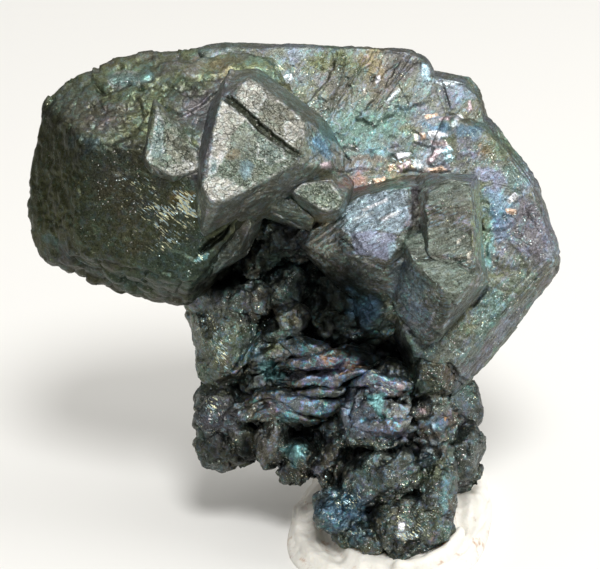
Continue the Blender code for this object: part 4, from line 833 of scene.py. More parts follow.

# Stains seen from the front, and painted shade where DARK or SHADE darkens cavities, voids, crevices and shaded
# bevels, as (x, z, half width, half height, degrees anticlockwise, colour, strength).
STAINS_AND_SHADE = [
    (-27.2, 29.0, 3.2, 6.0, 5, "OLIVE", 0.95), (-22.5, 30.0, 3.2, 3.0, 20, "SLATE", 0.5),
    (-22.0, 33.6, 2.6, 1.2, 20, "MAUVE", 0.3), (-24.0, 31.6, 1.0, 0.9, 0, "BLUE", 0.3),
    (-16.7, 26.8, 1.0, 0.5, -20, "GOLD", 0.8), (-19.6, 33.0, 2.4, 1.2, 35, "MOSS", 0.5),
    (-21.8, 27.4, 2.0, 2.4, 0, "BROWN", 0.35), (-16.4, 35.0, 1.4, 1.0, 0, "TAN", 0.5),
    (-13.6, 37.6, 1.4, 0.9, -50, "BROWN", 0.6), (-17.4, 38.2, 1.0, 0.6, 0, "TAN", 0.6),
    (-27.0, 24.0, 1.2, 0.5, -20, "TEAL", 0.7), (-17.0, 22.0, 4.5, 2.0, 15, "TEAL", 0.4),
    (-25.0, 35.0, 2.6, 1.6, 30, "SLATE", 0.5), (-21.0, 36.8, 1.8, 0.9, 0, "AQUA", 0.5),
    (-15.6, 37.5, 1.2, 0.6, 0, "PINK", 0.25), (-23.0, 25.0, 3.0, 2.5, 0, "MOSS", 0.5),
    (-19.0, 30.4, 1.4, 1.4, 0, "BROWN", 0.3), (-15.4, 33.8, 2.0, 1.6, -30, "MAUVE", 0.6),
    (-15.0, 30.6, 0.8, 3.0, -8, "MAUVE", 0.8), (-13.8, 35.6, 1.6, 1.4, 30, "MAUVE", 0.6),
    (-7.6, 33.6, 1.4, 2.4, 40, "SLATE", 0.5), (-5.8, 31.6, 1.2, 1.4, -50, "BLUE", 0.6),
    (-6.0, 27.4, 1.6, 1.0, 0, "PALE", 0.7), (-3.0, 32.8, 3.4, 1.8, 10, "TEAL", 0.7),
    (-1.2, 31.1, 1.6, 0.6, 0, "AQUA", 0.35), (0.2, 33.4, 1.8, 1.0, 35, "TEAL", 0.6),
    (-1.0, 36.4, 2.4, 1.6, 30, "BROWN", 0.35), (-5.0, 38.0, 3.2, 1.2, 0, "OLIVE", 0.75),
    (-1.4, 38.4, 1.2, 1.6, 30, "GOLD", 0.35), (-4.4, 36.4, 1.2, 2.0, 20, "TAN", 0.6),
    (1.0, 36.0, 0.8, 1.8, -35, "MOSS", 0.5), (-2.6, 30.2, 2.4, 0.6, -8, "BROWN", 0.4),
    (4.9, 31.6, 0.6, 1.8, 20, "OLIVE", 0.6), (3.6, 32.9, 1.4, 0.4, -10, "BLUE", 0.7),
    (6.2, 32.8, 1.1, 0.7, 0, "BLUE", 0.6), (6.6, 30.9, 0.6, 0.5, 0, "PERIWINKLE", 0.6),
    (7.4, 31.0, 0.5, 0.5, 0, "ORANGE", 0.4), (9.6, 29.0, 1.4, 0.9, -40, "TEAL", 0.5),
    (7.2, 28.9, 1.8, 0.8, 5, "PERIWINKLE", 0.7), (8.6, 24.9, 1.4, 0.8, 0, "PERIWINKLE", 0.6),
    (8.6, 23.2, 0.6, 0.6, 0, "PERIWINKLE", 0.6), (10.2, 23.4, 0.6, 0.5, 0, "PERIWINKLE", 0.6),
    (9.4, 22.0, 0.7, 0.5, 0, "PERIWINKLE", 0.6), (11.4, 24.2, 1.8, 3.2, 10, "MAUVE", 0.6),
    (7.3, 24.2, 0.5, 3.2, 3, "AQUA", 0.6), (8.4, 21.4, 0.5, 1.6, -40, "OLIVE", 0.6),
    (11.4, 20.6, 2.4, 0.8, 46, "TAN", 0.7), (-3.0, 28.6, 1.6, 0.7, 5, "RUST", 0.8),
    (0.4, 28.1, 0.9, 0.6, -10, "TEAL", 0.6), (-9.6, 37.0, 1.2, 0.8, 0, "TEAL", 0.4),
    (-8.0, 38.6, 1.4, 0.6, 0, "SKY", 0.2), (-7.4, 36.8, 1.4, 1.0, 0, "SKY", 0.15),
    (2.8, 36.6, 0.8, 1.4, -20, "SKY", 0.3), (1.0, 34.8, 1.8, 1.0, 20, "SKY", 0.15),
    (1.4, 29.6, 1.8, 0.5, 0, "ORANGE", 0.3), (8.6, 31.6, 1.6, 1.4, -50, "OLIVE", 0.5),
    (5.6, 36.2, 1.2, 0.8, 0, "SKY", 0.25), (6.6, 34.6, 0.8, 1.6, -10, "BROWN", 0.5),
    (2.2, 31.6, 1.4, 0.4, 0, "SLATE", 0.6), (8.2, 26.2, 1.6, 2.0, 5, "BLUE", 0.6),
    (8.8, 27.0, 1.2, 0.9, 0, "SKY", 0.4), (9.6, 20.8, 2.2, 1.4, 40, "MOSS", 0.4),
    (7.6, 18.6, 1.8, 1.2, 45, "TEAL", 0.5), (5.8, 15.0, 1.4, 0.8, 45, "SKY", 0.15),
    (4.2, 15.4, 2.0, 1.8, 40, "SLATE", 0.6), (2.6, 15.6, 1.4, 1.8, 0, "DARK", 0.35),
    (-6.0, 23.8, 1.3, 1.0, 0, "CREAM", 0.45), (-4.9, 25.2, 0.9, 1.0, 0, "CREAM", 0.4),
    (-5.6, 25.4, 0.9, 0.7, 0, "GOLD", 0.4), (4.2, 25.6, 1.9, 2.6, 0, "SLATE", 0.5),
    (1.0, 20.0, 1.4, 2.6, 20, "BLUE", 0.35), (4.4, 18.3, 1.3, 1.3, 0, "SHADE", 0.5),
    (1.8, 17.8, 1.2, 1.4, 0, "PERIWINKLE", 0.3), (-3.2, 19.4, 1.0, 1.6, 35, "TEAL", 0.6),
    (-1.0, 16.8, 1.0, 0.8, 0, "TEAL", 0.5), (-9.6, 13.6, 1.0, 0.8, -40, "AQUA", 0.9),
    (-10.6, 14.5, 0.9, 0.5, -20, "SKY", 0.5), (-4.6, 14.0, 3.2, 0.9, 8, "VIOLET", 0.7),
    (-3.6, 13.2, 1.6, 0.3, 12, "ORANGE", 0.55), (-4.0, 15.0, 1.8, 0.3, 6, "ORANGE", 0.4),
    (-7.2, 14.9, 1.8, 0.3, 4, "PINK", 0.4), (-5.2, 12.4, 1.4, 0.3, 10, "GOLD", 0.5),
    (-9.2, 15.4, 1.0, 0.6, 0, "OLIVE", 0.6), (-5.2, 14.5, 0.5, 0.5, 0, "ORANGE", 0.7),
    (-2.6, 13.7, 0.9, 0.4, 10, "ORANGE", 0.6), (-6.6, 12.8, 2.6, 0.7, 0, "PERIWINKLE", 0.5),
    (-7.6, 12.4, 1.0, 0.5, 0, "GOLD", 0.4), (-7.6, 10.9, 3.0, 1.0, 0, "PERIWINKLE", 0.3),
    (-5.4, 10.6, 0.9, 0.7, 0, "BLUE", 0.6), (-8.4, 9.9, 1.0, 0.5, 0, "AQUA", 0.5),
    (-13.8, 7.2, 1.8, 1.2, 0, "SHADE", 0.45), (-0.4, 12.4, 1.6, 0.9, -15, "PINK", 0.65),
    (-1.2, 12.8, 2.2, 0.9, 0, "PERIWINKLE", 0.6), (-1.2, 10.9, 0.5, 0.8, 0, "BLUE", 0.5),
    (-3.0, 10.4, 1.2, 2.4, 10, "PERIWINKLE", 0.6), (-3.0, 10.0, 1.0, 2.2, 10, "ICE", 0.25),
    (-0.8, 8.6, 2.4, 1.0, 0, "VIOLET", 0.4), (3.4, 9.0, 0.8, 0.7, 0, "BLUE", 0.5),
    (4.8, 9.6, 0.8, 0.8, 0, "RUST", 0.4), (2.4, 10.2, 0.7, 0.7, 0, "BROWN", 0.4),
    (-7.6, 6.9, 1.0, 0.9, 0, "AQUA", 0.8), (-5.9, 5.6, 0.5, 0.9, 0, "PERIWINKLE", 0.7),
    (-14.0, 9.6, 1.8, 2.0, 0, "VIOLET", 0.2), (-9.8, 8.0, 1.0, 1.8, 8, "SILVER", 0.25),
    (-8.6, 5.6, 0.6, 0.5, 0, "PERIWINKLE", 0.4), (-4.0, 2.6, 2.2, 1.8, 0, "BLUE", 0.75),
    (-4.2, 3.6, 1.0, 0.6, 0, "AQUA", 0.4), (-2.4, 0.2, 1.0, 0.9, 0, "BLUE", 0.5),
    (4.2, 3.8, 0.4, 1.8, -5, "AQUA", 0.6), (2.6, 7.0, 1.0, 0.9, 0, "SKY", 0.45),
    # The silver stain at x 0.8, z 1.0 is a painted glint on the front boulder.
    (-0.4, 5.4, 2.6, 1.4, 0, "SLATE", 0.5), (0.8, 1.0, 0.6, 1.2, 10, "SILVER", 0.5),
    (0.6, 2.6, 0.9, 0.7, 0, "BROWN", 0.4), (2.8, 1.2, 1.4, 1.4, 0, "MOSS", 0.5),
    (3.6, 13.4, 1.6, 1.4, 0, "BROWN", 0.3), (5.4, 11.6, 1.2, 1.4, 0, "TEAL", 0.35),
    (6.2, 7.0, 1.2, 1.6, 0, "SILVER", 0.2), (-13.4, 16.0, 2.4, 3.0, 0, "MOSS", 0.4),
    # The DARK and SHADE entries below paint shade into the cavity, the slope under the overhang, the voids and the
    # gaps between lumps.
    (-9.2, 22.8, 3.4, 2.6, 10, "DARK", 0.82), (-4.4, 19.0, 4.8, 3.2, -25, "DARK", 0.93),
    (-13.2, 20.6, 2.0, 1.5, 20, "DARK", 0.99), (-12.6, 23.2, 1.4, 1.2, 40, "SHADE", 0.6),
    (-1.2, 15.0, 3.8, 1.3, -4, "DARK", 0.99), (-6.8, 8.4, 1.7, 1.0, 0, "DARK", 0.99),
    (-3.1, 6.4, 0.8, 0.7, 0, "DARK", 0.95), (-1.5, 2.2, 0.7, 1.1, -30, "DARK", 0.95),
    (1.9, 11.5, 0.6, 0.6, 0, "DARK", 0.9), (-9.8, 8.0, 0.9, 1.9, 8, "CREAM", 0.5),
    (0.0, 10.3, 1.7, 1.0, 0, "SILVER", 0.6), (6.9, 25.4, 0.6, 3.6, 3, "OLIVE", 0.7),
    (-11.7, 7.2, 0.9, 1.4, 0, "DARK", 0.9), (-5.2, 8.0, 0.6, 1.4, 0, "DARK", 0.8),
    (-7.2, 20.6, 1.2, 1.0, 0, "DARK", 0.7), (-10.0, 19.9, 0.6, 0.8, 0, "DARK", 0.8),
    (-6.8, 16.2, 1.6, 0.5, -10, "DARK", 0.7), (-8.6, 22.0, 1.4, 0.8, 0, "TEAL", 0.35),
    (-2.4, 18.4, 0.9, 1.6, 40, "BLUE", 0.45),
]

# Places where bright glinting streaks are painted, as (x, z, half width, half height, degrees anticlockwise,
# amount).
GLITTER = [
    (-16.2, 26.3, 1.3, 0.7, -20, 1.4), (-18.3, 26.1, 1.1, 0.6, -30, 0.75), (-16.8, 27.6, 0.6, 0.7, 0, 0.4),
    (-18.0, 25.6, 2.6, 1.8, -30, 0.28), (-19.8, 28.0, 1.8, 1.2, -20, 0.26), (-17.6, 23.8, 2.4, 0.8, 25, 0.24),
    (-15.1, 22.6, 0.6, 0.4, 30, 0.9), (0.7, 0.9, 0.6, 1.1, 10, 0.9), (-3.8, 3.4, 1.2, 0.8, 0, 0.4),
    (-0.9, 12.9, 1.2, 0.6, -20, 0.5), (-13.8, 14.8, 0.8, 1.6, 20, 0.45), (-14.5, 17.2, 0.8, 1.2, 30, 0.4),
    (-14.5, 11.0, 0.7, 0.9, 0, 0.45), (0.8, 29.8, 1.4, 0.5, 0, 0.5), (1.8, 1.2, 1.4, 1.2, 0, 0.3),
    (-9.0, 37.6, 1.4, 0.6, 0, 0.35),
]

# Places that are paler, on the left block and on the front crystals, in the same form.
PALER = [
    (-11.6, 38.0, 4.6, 2.4, 0, 1.6), (-8.0, 36.4, 2.6, 3.0, 30, 1.0), (-21.4, 36.9, 2.2, 1.2, 10, 0.8),
    (-17.0, 37.8, 3.0, 1.2, 0, 0.5), (-16.0, 27.2, 1.6, 1.6, 0, 0.5), (-19.0, 24.0, 3.5, 2.5, 0, 0.2),
]
PALER_FRONT = [(1.7, 26.6, 0.6, 2.2, 0, 1.8), (-6.0, 23.8, 1.5, 1.3, 0, 1.6), (-4.8, 25.6, 0.8, 1.2, 30, 1.0),
               (6.9, 25.2, 0.6, 3.4, 3, 1.6), (4.2, 26.0, 1.6, 2.2, 0, 0.25)]


def tarnish(base, film, grit, rough, drift=0.55, strong=0.66, top=0.0, flank=0.0, rim=0.45,
            paler=(), drifts=("OLIVE", "TEAL", "MAUVE", "SLATE", "BROWN")):
    """A function that paints a mesh's three layers. Colour: the base, `drift` of each drifting patch, the stains
    and the painted shade that DARK and SHADE lay in recesses, the paler faces and the flakes that the front shows,
    at the strength `strong`; `top` paints light on what faces up, `flank` paints light on what faces aside, `rim`
    silvers the worn edges, and painted shade darkens the cuts and what is sunk. Values: how much `film`, `grit`
    and
    roughness there is. Marks: where it is crazed, where shade is painted into a hollow and where bright glinting
    streaks are painted."""
    def tint(p, out, edge, sunk):
        bend = bending(p, 1.2, 500) + 0.5 * bending(p, 0.4, 505)
        front = smooth(-out[:, 1], -0.1, 0.25)
        facing = smooth(-out[:, 1], 0.35, 0.6)
        colour = np.tile(TARNISH[base], (len(p), 1))
        values = np.tile((film, grit, rough), (len(p), 1))
        marks = np.zeros((len(p), 3))

        def paint(share, name):
            colour[:] = colour * (1 - share[:, None]) + np.array(TARNISH[name]) * share[:, None]

        def spot(x, z, *ellipse):
            far = from_middle(p[:, 0] - x + 0.8 * bend[:, 0], p[:, 2] - z + 0.8 * bend[:, 2], *ellipse)
            return (1 - smooth(far, 0.5, 1.2)) * front

        for seed, name in enumerate(drifts):
            paint(smooth(layered(p + bend, 2.6, 3, 520 + 9 * seed), 0.05, 0.45) * drift, name)
        for *place, name, strength in STAINS_AND_SHADE:
            share = spot(*place) * strength
            paint(share, name)
            # DARK stains are painted shade in cavities, voids and gaps; their share also marks where shade is
            # painted into a hollow.
            if name == "DARK":
                marks[:, 1] = np.maximum(marks[:, 1], share)
        colour *= strong
        # Painted light: `top` lightens what faces up and `flank` what faces aside, and the paler places are added
        # to it.
        lift = 1 + top * smooth(out[:, 2], 0.25, 0.65) + flank * smooth(out[:, 1], -0.85, -0.5)
        for *place, amount in paler:
            lift += amount * spot(*place)
        colour *= lift[:, None]
        patchy = 0.55 + 0.45 * smooth(layered(p + 0.3 * bend, 0.9, 3, 570, 0.7), -0.35, 0.15)
        frosted = 0.8 * smooth(layered(p, 0.8, 2, 590), -0.15, 0.2)
        for outline, name, strength, dull in FACES:
            far = inside(p, outline) + 0.14 * bend[:, 0]
            share = smooth(far, -0.04, 0.08) * facing
            paint(share * strength * patchy, name)
            if name in CRAZED:
                paint(smooth(far, -0.02, 0.06) * smooth(-far, -0.24, -0.12) * facing * frosted, "SILVER")
            values += (np.array((0.12, 0.3, dull)) - values) * share[:, None]
            marks[:, 0] = np.clip(marks[:, 0] + share * (1 if name in CRAZED else -1), 0, 1)
        # Painted shade: darker in the cuts and where the surface is sunk, in pits and in the crooks between lumps.
        colour *= ((1 - 0.4 * np.clip(cut_depth(p, facing) / 0.3, 0, 1)) * (1 - 0.85 * sunk))[:, None]
        colour *= (1 + 0.42 * layered(p, 0.9, 4, 560, 0.7))[:, None]
        for outline, name in FLAKES:
            share = smooth(inside(p, outline) + 0.10 * bend[:, 0], -0.03, 0.06) * facing
            paint(0.9 * share, name)
            values += (np.array((0.05, 0.6, 0.36)) - values) * share[:, None]
        for *place, amount in GLITTER:
            marks[:, 2] = np.maximum(marks[:, 2], amount * spot(*place))
        worn = smooth(edge, 0.2, 0.45) * smooth(layered(p, 0.5, 2, 580), 0.0, 0.35) * rim
        paint(worn * (1 - marks[:, 1]), "SILVER")
        return np.maximum(colour, 0.004), values, marks
    return tint


class Wire:
    """A socket's value in shader maths: each operator adds a Math node."""

    def __init__(self, tree, socket):
        self.tree, self.socket = tree, socket

    def maths(self, operation, a, b):
        node = self.tree.nodes.new("ShaderNodeMath")
        node.operation = operation
        for i, value in enumerate((a, b)):
            if isinstance(value, Wire):
                self.tree.links.new(value.socket, node.inputs[i])
            else:
                node.inputs[i].default_value = value
        return Wire(self.tree, node.outputs[0])

    def __add__(self, other):
        return self.maths("ADD", self, other)

    def __radd__(self, other):
        return self.maths("ADD", other, self)

    def __sub__(self, other):
        return self.maths("SUBTRACT", self, other)

    def __rsub__(self, other):
        return self.maths("SUBTRACT", other, self)

    def __mul__(self, other):
        return self.maths("MULTIPLY", self, other)


class Shade:
    """A material's node tree, with one method that adds any node."""

    def __init__(self, name):
        self.material = bpy.data.materials.new(name)
        self.material.use_nodes = True
        self.tree = self.material.node_tree
        self.shader = self.tree.nodes["Principled BSDF"]

    def node(self, kind, settings=None, values=None, out=0):
        """Any shader node with these settings, or ramp stops, and these inputs. Gives the output of this number,
        which is a texture's colour where it is 1."""
        node = self.tree.nodes.new("ShaderNode" + kind)
        for key, value in (settings or {}).items():
            if key == "stops":
                ramp = node.color_ramp
                for i, (place, colour) in enumerate(value):
                    stop = ramp.elements[i] if i < 2 else ramp.elements.new(place)
                    stop.position = place
                    stop.color = (*colour, 1)
            else:
                setattr(node, key, value)
        self.fill(node, values or {})
        return Wire(self.tree, node.outputs[out])

    def fill(self, node, values):
        """Sets inputs to plain values, or links them."""
        for key, value in values.items():
            if isinstance(value, Wire):
                self.tree.links.new(value.socket, node.inputs[key])
            else:
                node.inputs[key].default_value = value

    def mix(self, share, a, b, how="MIX"):
        """Colours a and b mixed: the sockets are the factor, 0, and the colours, 6 and 7."""
        return self.node("Mix", {"data_type": "RGBA", "blend_type": how}, {0: share, 6: a, 7: b}, out=2)

    def place(self, lean=0.0):
        """The object's own coordinates, output 3, in millimetres and stood upright again."""
        return self.node("Mapping", None, {"Vector": self.node("TexCoord", out=3), "Rotation": (lean, 0, 0),
                                           "Scale": (1 / TO_METRES,) * 3})

    def split(self, colour):
        """A colour's three channels."""
        node = self.tree.nodes.new("ShaderNodeSeparateColor")
        self.fill(node, {0: colour})
        return [Wire(self.tree, node.outputs[i]) for i in range(3)]

    def vector(self, operation, *vectors, **others):
        """One step of vector maths."""
        return self.node("VectorMath", {"operation": operation}, {**dict(enumerate(vectors)), **others})

    def clear(self, value, low, high):
        """The value from low to high mapped to 0 to 1 and clamped."""
        return self.node("MapRange", {"interpolation_type": "SMOOTHSTEP"},
                         {"Value": value, "From Min": low, "From Max": high})


def sulfide(name, rise=0.0, stretch=1.0, bumps=0.00006, cells=0.10, streak=0.6, close=2.2):
    """Tarnished copper sulfide: dull metal, tinted by the mesh's own attributes, with glinting grains. Its
    streaks rise to the right at the angle `rise`, are drawn out along it by `stretch`, lie `close` together and
    show in the measure `streak`. `bumps` is the fine relief in metres, and `cells` how far broad cells tilt."""
    s = Shade(name)
    place = s.place(LEAN)
    drawn = s.node("Mapping", None, {"Vector": place, "Rotation": (0, math.radians(rise), 0)})
    drawn = s.node("Mapping", None, {"Vector": drawn, "Scale": (1 / stretch, 1, 1)})
    tint = s.node("Attribute", {"attribute_name": "tint"})
    film, grit, rough = s.split(s.node("Attribute", {"attribute_name": "finish"}))
    # The second mark is where shade is painted into a hollow: it takes the glints away there and makes it rougher.
    crazed, shaded_hollow, glitter = s.split(s.node("Attribute", {"attribute_name": "marks"}))

    # Noises and cells from broad to fine, and needles at a slant.
    mottle = s.node("TexNoise", None, {"Vector": place, "Scale": 0.9, "Detail": 6, "Roughness": 0.7,
                                       "Distortion": 0.6})
    fine = s.node("TexNoise", None, {"Vector": drawn, "Scale": close, "Detail": 4, "Roughness": 0.7,
                                     "Distortion": 0.3})
    crumb = s.node("TexNoise", None, {"Vector": place, "Scale": 6.0, "Detail": 2, "Roughness": 0.6})
    flakes = s.node("TexVoronoi", None, {"Vector": drawn, "Scale": 1.6, "Randomness": 1.0}, out=1)
    sparks = s.node("TexVoronoi", None, {"Vector": place, "Scale": 12.0, "Randomness": 1.0}, out=1)
    needles = s.node("Mapping", None, {"Vector": place, "Rotation": (0, math.radians(-38), 0)})
    needles = s.node("Mapping", None, {"Vector": needles, "Scale": (2.6, 12, 12)})
    needles = s.node("TexVoronoi", None, {"Vector": needles, "Scale": 1.0, "Randomness": 1.0}, out=1)

    # Cracks where it is crazed, painted glints in a few of the smallest cells, and painted bright streaks where
    # glitter is marked.
    wander = s.vector("ADD", place, s.vector("SCALE", s.node("TexNoise", None, {
        "Vector": place, "Scale": 2.5, "Detail": 3}, out=1), Scale=0.5))
    crack = s.node("TexVoronoi", {"feature": "DISTANCE_TO_EDGE"}, {"Vector": wander, "Scale": 1.7})
    crack = (1 - s.clear(crack, 0.0, 0.05)) * s.clear(mottle, 0.36, 0.54) * crazed
    green, blue = s.split(sparks)[1:]
    glint = s.clear(blue + grit * 0.05, 0.94, 0.99) * s.clear(mottle, 0.45, 0.58) * (1 - shaded_hollow)
    needle, warm, other = s.split(needles)
    streaks = s.clear(needle + (glitter - 0.5) * 0.7, 0.62, 0.78) * s.clear(glitter, 0.05, 0.3) \
        * (other * 0.5 + 0.5) * s.clear(crumb + glitter * 0.3, 0.40, 0.60)

    # Colour: the tint, with thin films over it, dark and pale grain, then the painted glints and streaks of
    # highlight, and the cracks.
    films = s.node("ValToRGB", {"stops": [(0.30, (0.32, 0.21, 0.09)), (0.42, (0.38, 0.18, 0.14)),
                                          (0.47, (0.22, 0.17, 0.36)), (0.53, (0.08, 0.22, 0.40)),
                                          (0.58, (0.07, 0.32, 0.29)), (0.70, (0.22, 0.26, 0.08))]},
                   {"Fac": mottle * 0.6 + fine * 0.4})
    bright = s.node("RGBToBW", None, {0: tint})
    hue = s.mix(film * s.clear(fine, 0.48, 0.60) * 0.7, tint, s.vector("SCALE", films, Scale=bright * 6.5))
    grain = s.node("TexNoise", None, {"Vector": place, "Scale": 11.0, "Detail": 1})
    shade = s.clear(fine, 0.30, 0.70) * streak + s.clear(crumb, 0.3, 0.7) * 0.4 \
        + s.clear(grain, 0.3, 0.7) * (0.5 - crazed * 0.35) + crazed * 0.17 + (0.55 - 0.5 * streak)
    hue = s.mix(1.0, hue, s.node("CombineColor", None, {0: shade, 1: shade, 2: shade}), "MULTIPLY")
    hue = s.mix(crazed * s.clear(grain + crumb - 0.5, 0.56, 0.66) * 0.22, hue, (0.60, 0.60, 0.54, 1))
    spark = s.node("ValToRGB", {"stops": [(0.0, (0.80, 0.72, 0.36)), (0.25, (0.78, 0.78, 0.72)),
                                          (0.5, (0.50, 0.74, 0.72)), (0.75, (0.76, 0.58, 0.64)),
                                          (1.0, (0.80, 0.80, 0.76))]}, {"Fac": green})
    # Painted highlights: the glinting cells, then the bright streaks, are mixed towards pale glint colours.
    hue = s.mix(glint * (grit * 0.3 + 0.22), hue, spark)
    hue = s.mix(streaks, hue, s.mix(s.clear(warm, 0.4, 0.6), (0.56, 0.76, 0.82, 1), (0.92, 0.92, 0.60, 1)))
    hue = s.mix(crack * 0.45, hue, (0.03, 0.032, 0.025, 1))

    # Relief: a fine bump, and cells of two sizes that are each tilted their own way.
    bump = s.node("Bump", None, {"Height": fine + crumb * 0.4 - crack * 0.5, "Distance": bumps, "Strength": 1.0})
    tilt = s.vector("SCALE", s.vector("SUBTRACT", sparks, (0.5, 0.5, 0.5)), Scale=glint * 0.7 + grit * 0.08)
    broad = s.vector("SCALE", s.vector("SUBTRACT", flakes, (0.5, 0.5, 0.5)), Scale=cells)
    way = s.vector("NORMALIZE", s.vector("ADD", s.vector("ADD", bump, tilt), broad))

    s.fill(s.shader, {"Base Color": hue, "Metallic": 0.95, "Normal": way,
                      "Roughness": rough + (crumb - 0.5) * 0.3 - glint * 0.1 - streaks * 0.1 + shaded_hollow * 0.2})
    return s.material


def putty_white(name):
    """Mineral putty: cream, a little greasy, fingered, with brown smears, and browner where shade is painted low
    at its foot and in its hollows.
    """
    s = Shade(name)
    place = s.place()
    smear = s.node("TexNoise", None, {"Vector": place, "Scale": 0.35, "Detail": 5, "Roughness": 0.6,
                                      "Distortion": 1.2})
    grime = s.node("TexNoise", None, {"Vector": place, "Scale": 1.6, "Detail": 4, "Roughness": 0.6})
    # The mesh's first channel carries the brown smears and the painted shade.
    dirt_and_shade = s.split(s.node("Attribute", {"attribute_name": "tint"}))[0]
    hue = s.mix(s.clear(smear + dirt_and_shade * 0.3, 0.60, 0.75) * s.clear(grime, 0.45, 0.7) * 0.8, (0.80, 0.77, 0.70, 1),
                (0.42, 0.20, 0.09, 1))
    hue = s.mix(s.clear(grime, 0.50, 0.8) * 0.35, hue, (0.62, 0.59, 0.52, 1))
    bump = s.node("Bump", None, {"Height": grime, "Distance": 0.0002, "Strength": 0.7})
    s.fill(s.shader, {"Base Color": hue, "Roughness": 0.42 + grime * 0.2, "Normal": bump,
                      "Subsurface Weight": 0.15, "Subsurface Radius": (0.002, 0.0015, 0.001),
                      "Subsurface Scale": 1.0})
    return s.material


def putty_pad(finish, cell=0.17):
    """The putty in the frame's own directions: a superellipsoid, whose distance from the middle along each
    ray b is the sum of |b / radius| to the squareness, to the power -1/squareness. It is flat below, its top
    rises to one side, and fingers have pressed it into soft folds and hollows."""
    grid, quads = box_grid([int(2 * r / cell) for r in PUTTY_RADII])
    k = PUTTY_SQUARENESS
    q = grid / ((np.abs(grid) ** k).sum(1) ** (1 / k))[:, None] * PUTTY_RADII
    q[:, 2] = np.maximum(q[:, 2], 0) * (PUTTY_TOP + q[:, 0] * PUTTY_RISE[0] + q[:, 1] * PUTTY_RISE[1])
    c, d = math.cos(PUTTY_TURN), math.sin(PUTTY_TURN)
    p = np.stack([q[:, 0] * c - q[:, 1] * d + PUTTY_CENTRE[0], q[:, 0] * d + q[:, 1] * c + PUTTY_CENTRE[1],
                  q[:, 2]], 1)
    out = skin_of(quads, p)
    bend = bending(p, 3.0, 900)
    rise = smooth(p[:, 2], 0.05, 1.2)
    h = 0.36 * layered(p + bend, 3.2, 3, 910) + 0.16 * creased(p + bend, 3.4, 2, 920) \
        + 0.04 * layered(p, 0.8, 3, 930) - 0.30
    seen = np.stack([p[:, 0], p[:, 1], p[:, 2] * math.cos(LEAN) + p[:, 1] * math.sin(LEAN)], 1)
    for line, width, height in PUTTY_RIDGES:
        h += height * (1 - smooth(near_line(seen, line) / width + 0.2 * bend[:, 0], 0.15, 1))
    side = smooth(-out[:, 2], -0.9, -0.4)
    h -= side * 0.35 * np.exp(-((p[:, 2] - 1.3 - 0.5 * bend[:, 0]) / 0.28) ** 2)
    p = p + out * (h * rise)[:, None]
    # The last value sets the painted shade in the hollows of the putty.
    return joined("putty", [(p, out, quads, 0 * rise, smooth(-h, 0.3, 0.9) * rise)], finish, putty_smears_and_shade, lean=0)


def putty_smears_and_shade(p, out, edge, sunk):
    """Where the putty has brown smears, at places seen from the front as (x, z, half width, half height,
    turn), and where shade is painted low at its foot and in its hollows.
    """
    dirt_and_shade = np.zeros(len(p))
    x, z = p[:, 0], p[:, 2] * math.cos(LEAN) + p[:, 1] * math.sin(LEAN)
    bend = bending(p, 1.0, 940)
    for x0, z0, *ellipse in ((7.2, -0.3, 0.7, 0.3, -30), (5.2, -1.2, 0.8, 0.2, 20), (3.4, -1.9, 1.0, 0.25, 30),
                             (6.6, 1.4, 0.3, 0.5, 0), (-6.6, 2.6, 0.8, 0.3, 10), (-5.0, -0.6, 0.5, 0.4, 0)):
        far = from_middle(x - x0 + 0.3 * bend[:, 0], z - z0 + 0.3 * bend[:, 2], *ellipse)
        dirt_and_shade = np.maximum(dirt_and_shade, 1 - smooth(far, 0.3, 1.3))
    # Painted shade: darker low round the putty's foot and in its hollows.
    dirt_and_shade = np.maximum(dirt_and_shade, 0.45 * (1 - smooth(p[:, 2] + 0.4 * bend[:, 1], 0.2, 1.1))) + 0.4 * sunk
    return [np.repeat(dirt_and_shade[:, None], 3, axis=1)]


def show(piece, node):
    """Hands a piece over: what it rides on, and the solid that it replaces."""
    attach(piece, "root")
    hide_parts(node)


